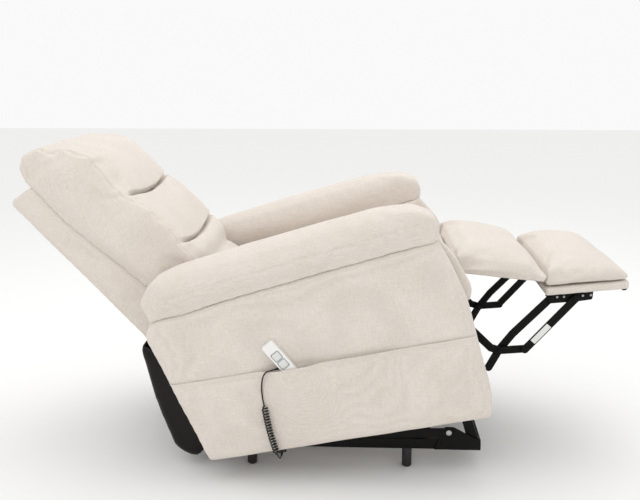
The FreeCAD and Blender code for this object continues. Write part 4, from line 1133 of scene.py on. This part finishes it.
# Rubber: black, dull, with slight blooming.
bumper_rubber, tree, shader = material("black_rubber")
spot = add(tree, "ShaderNodeTexCoord").outputs["Object"]
tree.links.new(two_tone(tree, noise_fac(tree, spot, 120.0), "0E0E0D", "1A1918"),
               shader.inputs["Base Color"])
shader.inputs["Roughness"].default_value = 0.75
for side, sign in (("left", 1), ("right", -1)):
    bm = bmesh.new()
    bmesh.ops.create_cone(bm, cap_ends=True, segments=24, radius1=BUMPER_TIP, radius2=BUMPER_FOOT,
                          depth=BUMPER_HEIGHT,
                          matrix=LEVEL @ Matrix.Translation((0.823, sign * 0.236, 0.2878)))
    rims = [e for e in bm.edges if e.calc_face_angle(0) > 0.6]
    bmesh.ops.bevel(bm, geom=rims, offset=BUMPER_EDGE, segments=2, profile=0.5, affect="EDGES",
                    material=-1)
    bumper = from_bmesh(f"board_bumper_{side}", bm)
    bumper.data.materials.append(bumper_rubber)
    smooth_by_angle(bumper)
    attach(bumper, "footboard")

# ---------------------------------------------------------------------------------------------
# Screws: four domed zinc-plated heads a side, which fix the footrest brackets to the board's
# side battens.
SCREW_SIZE = (0.0038, 0.0022, 0.0038, 1)
for side, sign in (("left", 1), ("right", -1)):
    bm = bmesh.new()
    for u, w in ((0.637, 0.2955), (0.656, 0.2930), (0.708, 0.2875), (0.730, 0.2852)):
        place = LEVEL @ Matrix.Translation((u, sign * 0.2342, w)) @ Matrix.Diagonal(SCREW_SIZE)
        bmesh.ops.create_uvsphere(bm, u_segments=16, v_segments=8, radius=1.0, matrix=place)
    screws = from_bmesh(f"bracket_screws_{side}", bm)
    screws.data.materials.append(zinc)
    screws.data.shade_smooth()
    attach(screws, "footboard")

# ---------------------------------------------------------------------------------------------
# Camera: a 50 mm lens about 2.7 m to the chair's right, a little above seat height, looking
# slightly down. It is level, so upright things stand upright in the picture.
EYE = Vector((0.1013, -2.678, 1.165))
YAW = math.radians(-2.443)
PITCH = math.radians(-12.277)
look = Vector((math.sin(YAW) * math.cos(PITCH), math.cos(YAW) * math.cos(PITCH), math.sin(PITCH)))
camera = bpy.data.objects.new("camera", bpy.data.cameras.new("camera"))
camera.data.lens = 50.0
camera.data.sensor_width = 36.0
camera.location = EYE
camera.rotation_euler = look.to_track_quat("-Z", "Y").to_euler()
bpy.context.scene.collection.objects.link(camera)
bpy.context.scene.camera = camera

# ---------------------------------------------------------------------------------------------
# Floor and light: a pale seamless floor, a broad soft key lamp high on the camera's left, a broad
# lamp overhead and an even white surround.
FLOOR_HALF, SURROUND_STRENGTH = 12.0, 0.95
bpy.context.scene.view_settings.view_transform = "Standard"

# Floor paint: off-white and matt.
floor_paint, tree, shader = material("studio_floor_paint")
shader.inputs["Base Color"].default_value = linear("F4F4F3")
shader.inputs["Roughness"].default_value = 0.9
bm = bmesh.new()
bmesh.ops.create_grid(bm, x_segments=1, y_segments=1, size=FLOOR_HALF)
floor_mesh = bpy.data.meshes.new("floor")
bm.to_mesh(floor_mesh)
bm.free()
floor = bpy.data.objects.new("floor", floor_mesh)
floor_mesh.materials.append(floor_paint)
bpy.context.scene.collection.objects.link(floor)

world = bpy.data.worlds.new("surround")
world.use_nodes = True
world.node_tree.nodes["Background"].inputs["Color"].default_value = (1, 1, 1, 1)
world.node_tree.nodes["Background"].inputs["Strength"].default_value = SURROUND_STRENGTH
bpy.context.scene.world = world
for name, place, aim, width, power in (("key", (-1.4, -2.4, 3.0), (0, 0, 0.4), 2.4, 16),
                                       ("top", (0.3, 0.6, 3.2), (0, 0, 0.3), 2.6, 26)):
    lamp = bpy.data.objects.new(name, bpy.data.lights.new(name, "AREA"))
    lamp.data.size = width
    lamp.data.energy = power
    lamp.location = place
    lamp.rotation_euler = (Vector(aim) - Vector(place)).to_track_quat("-Z", "Y").to_euler()
    bpy.context.scene.collection.objects.link(lamp)
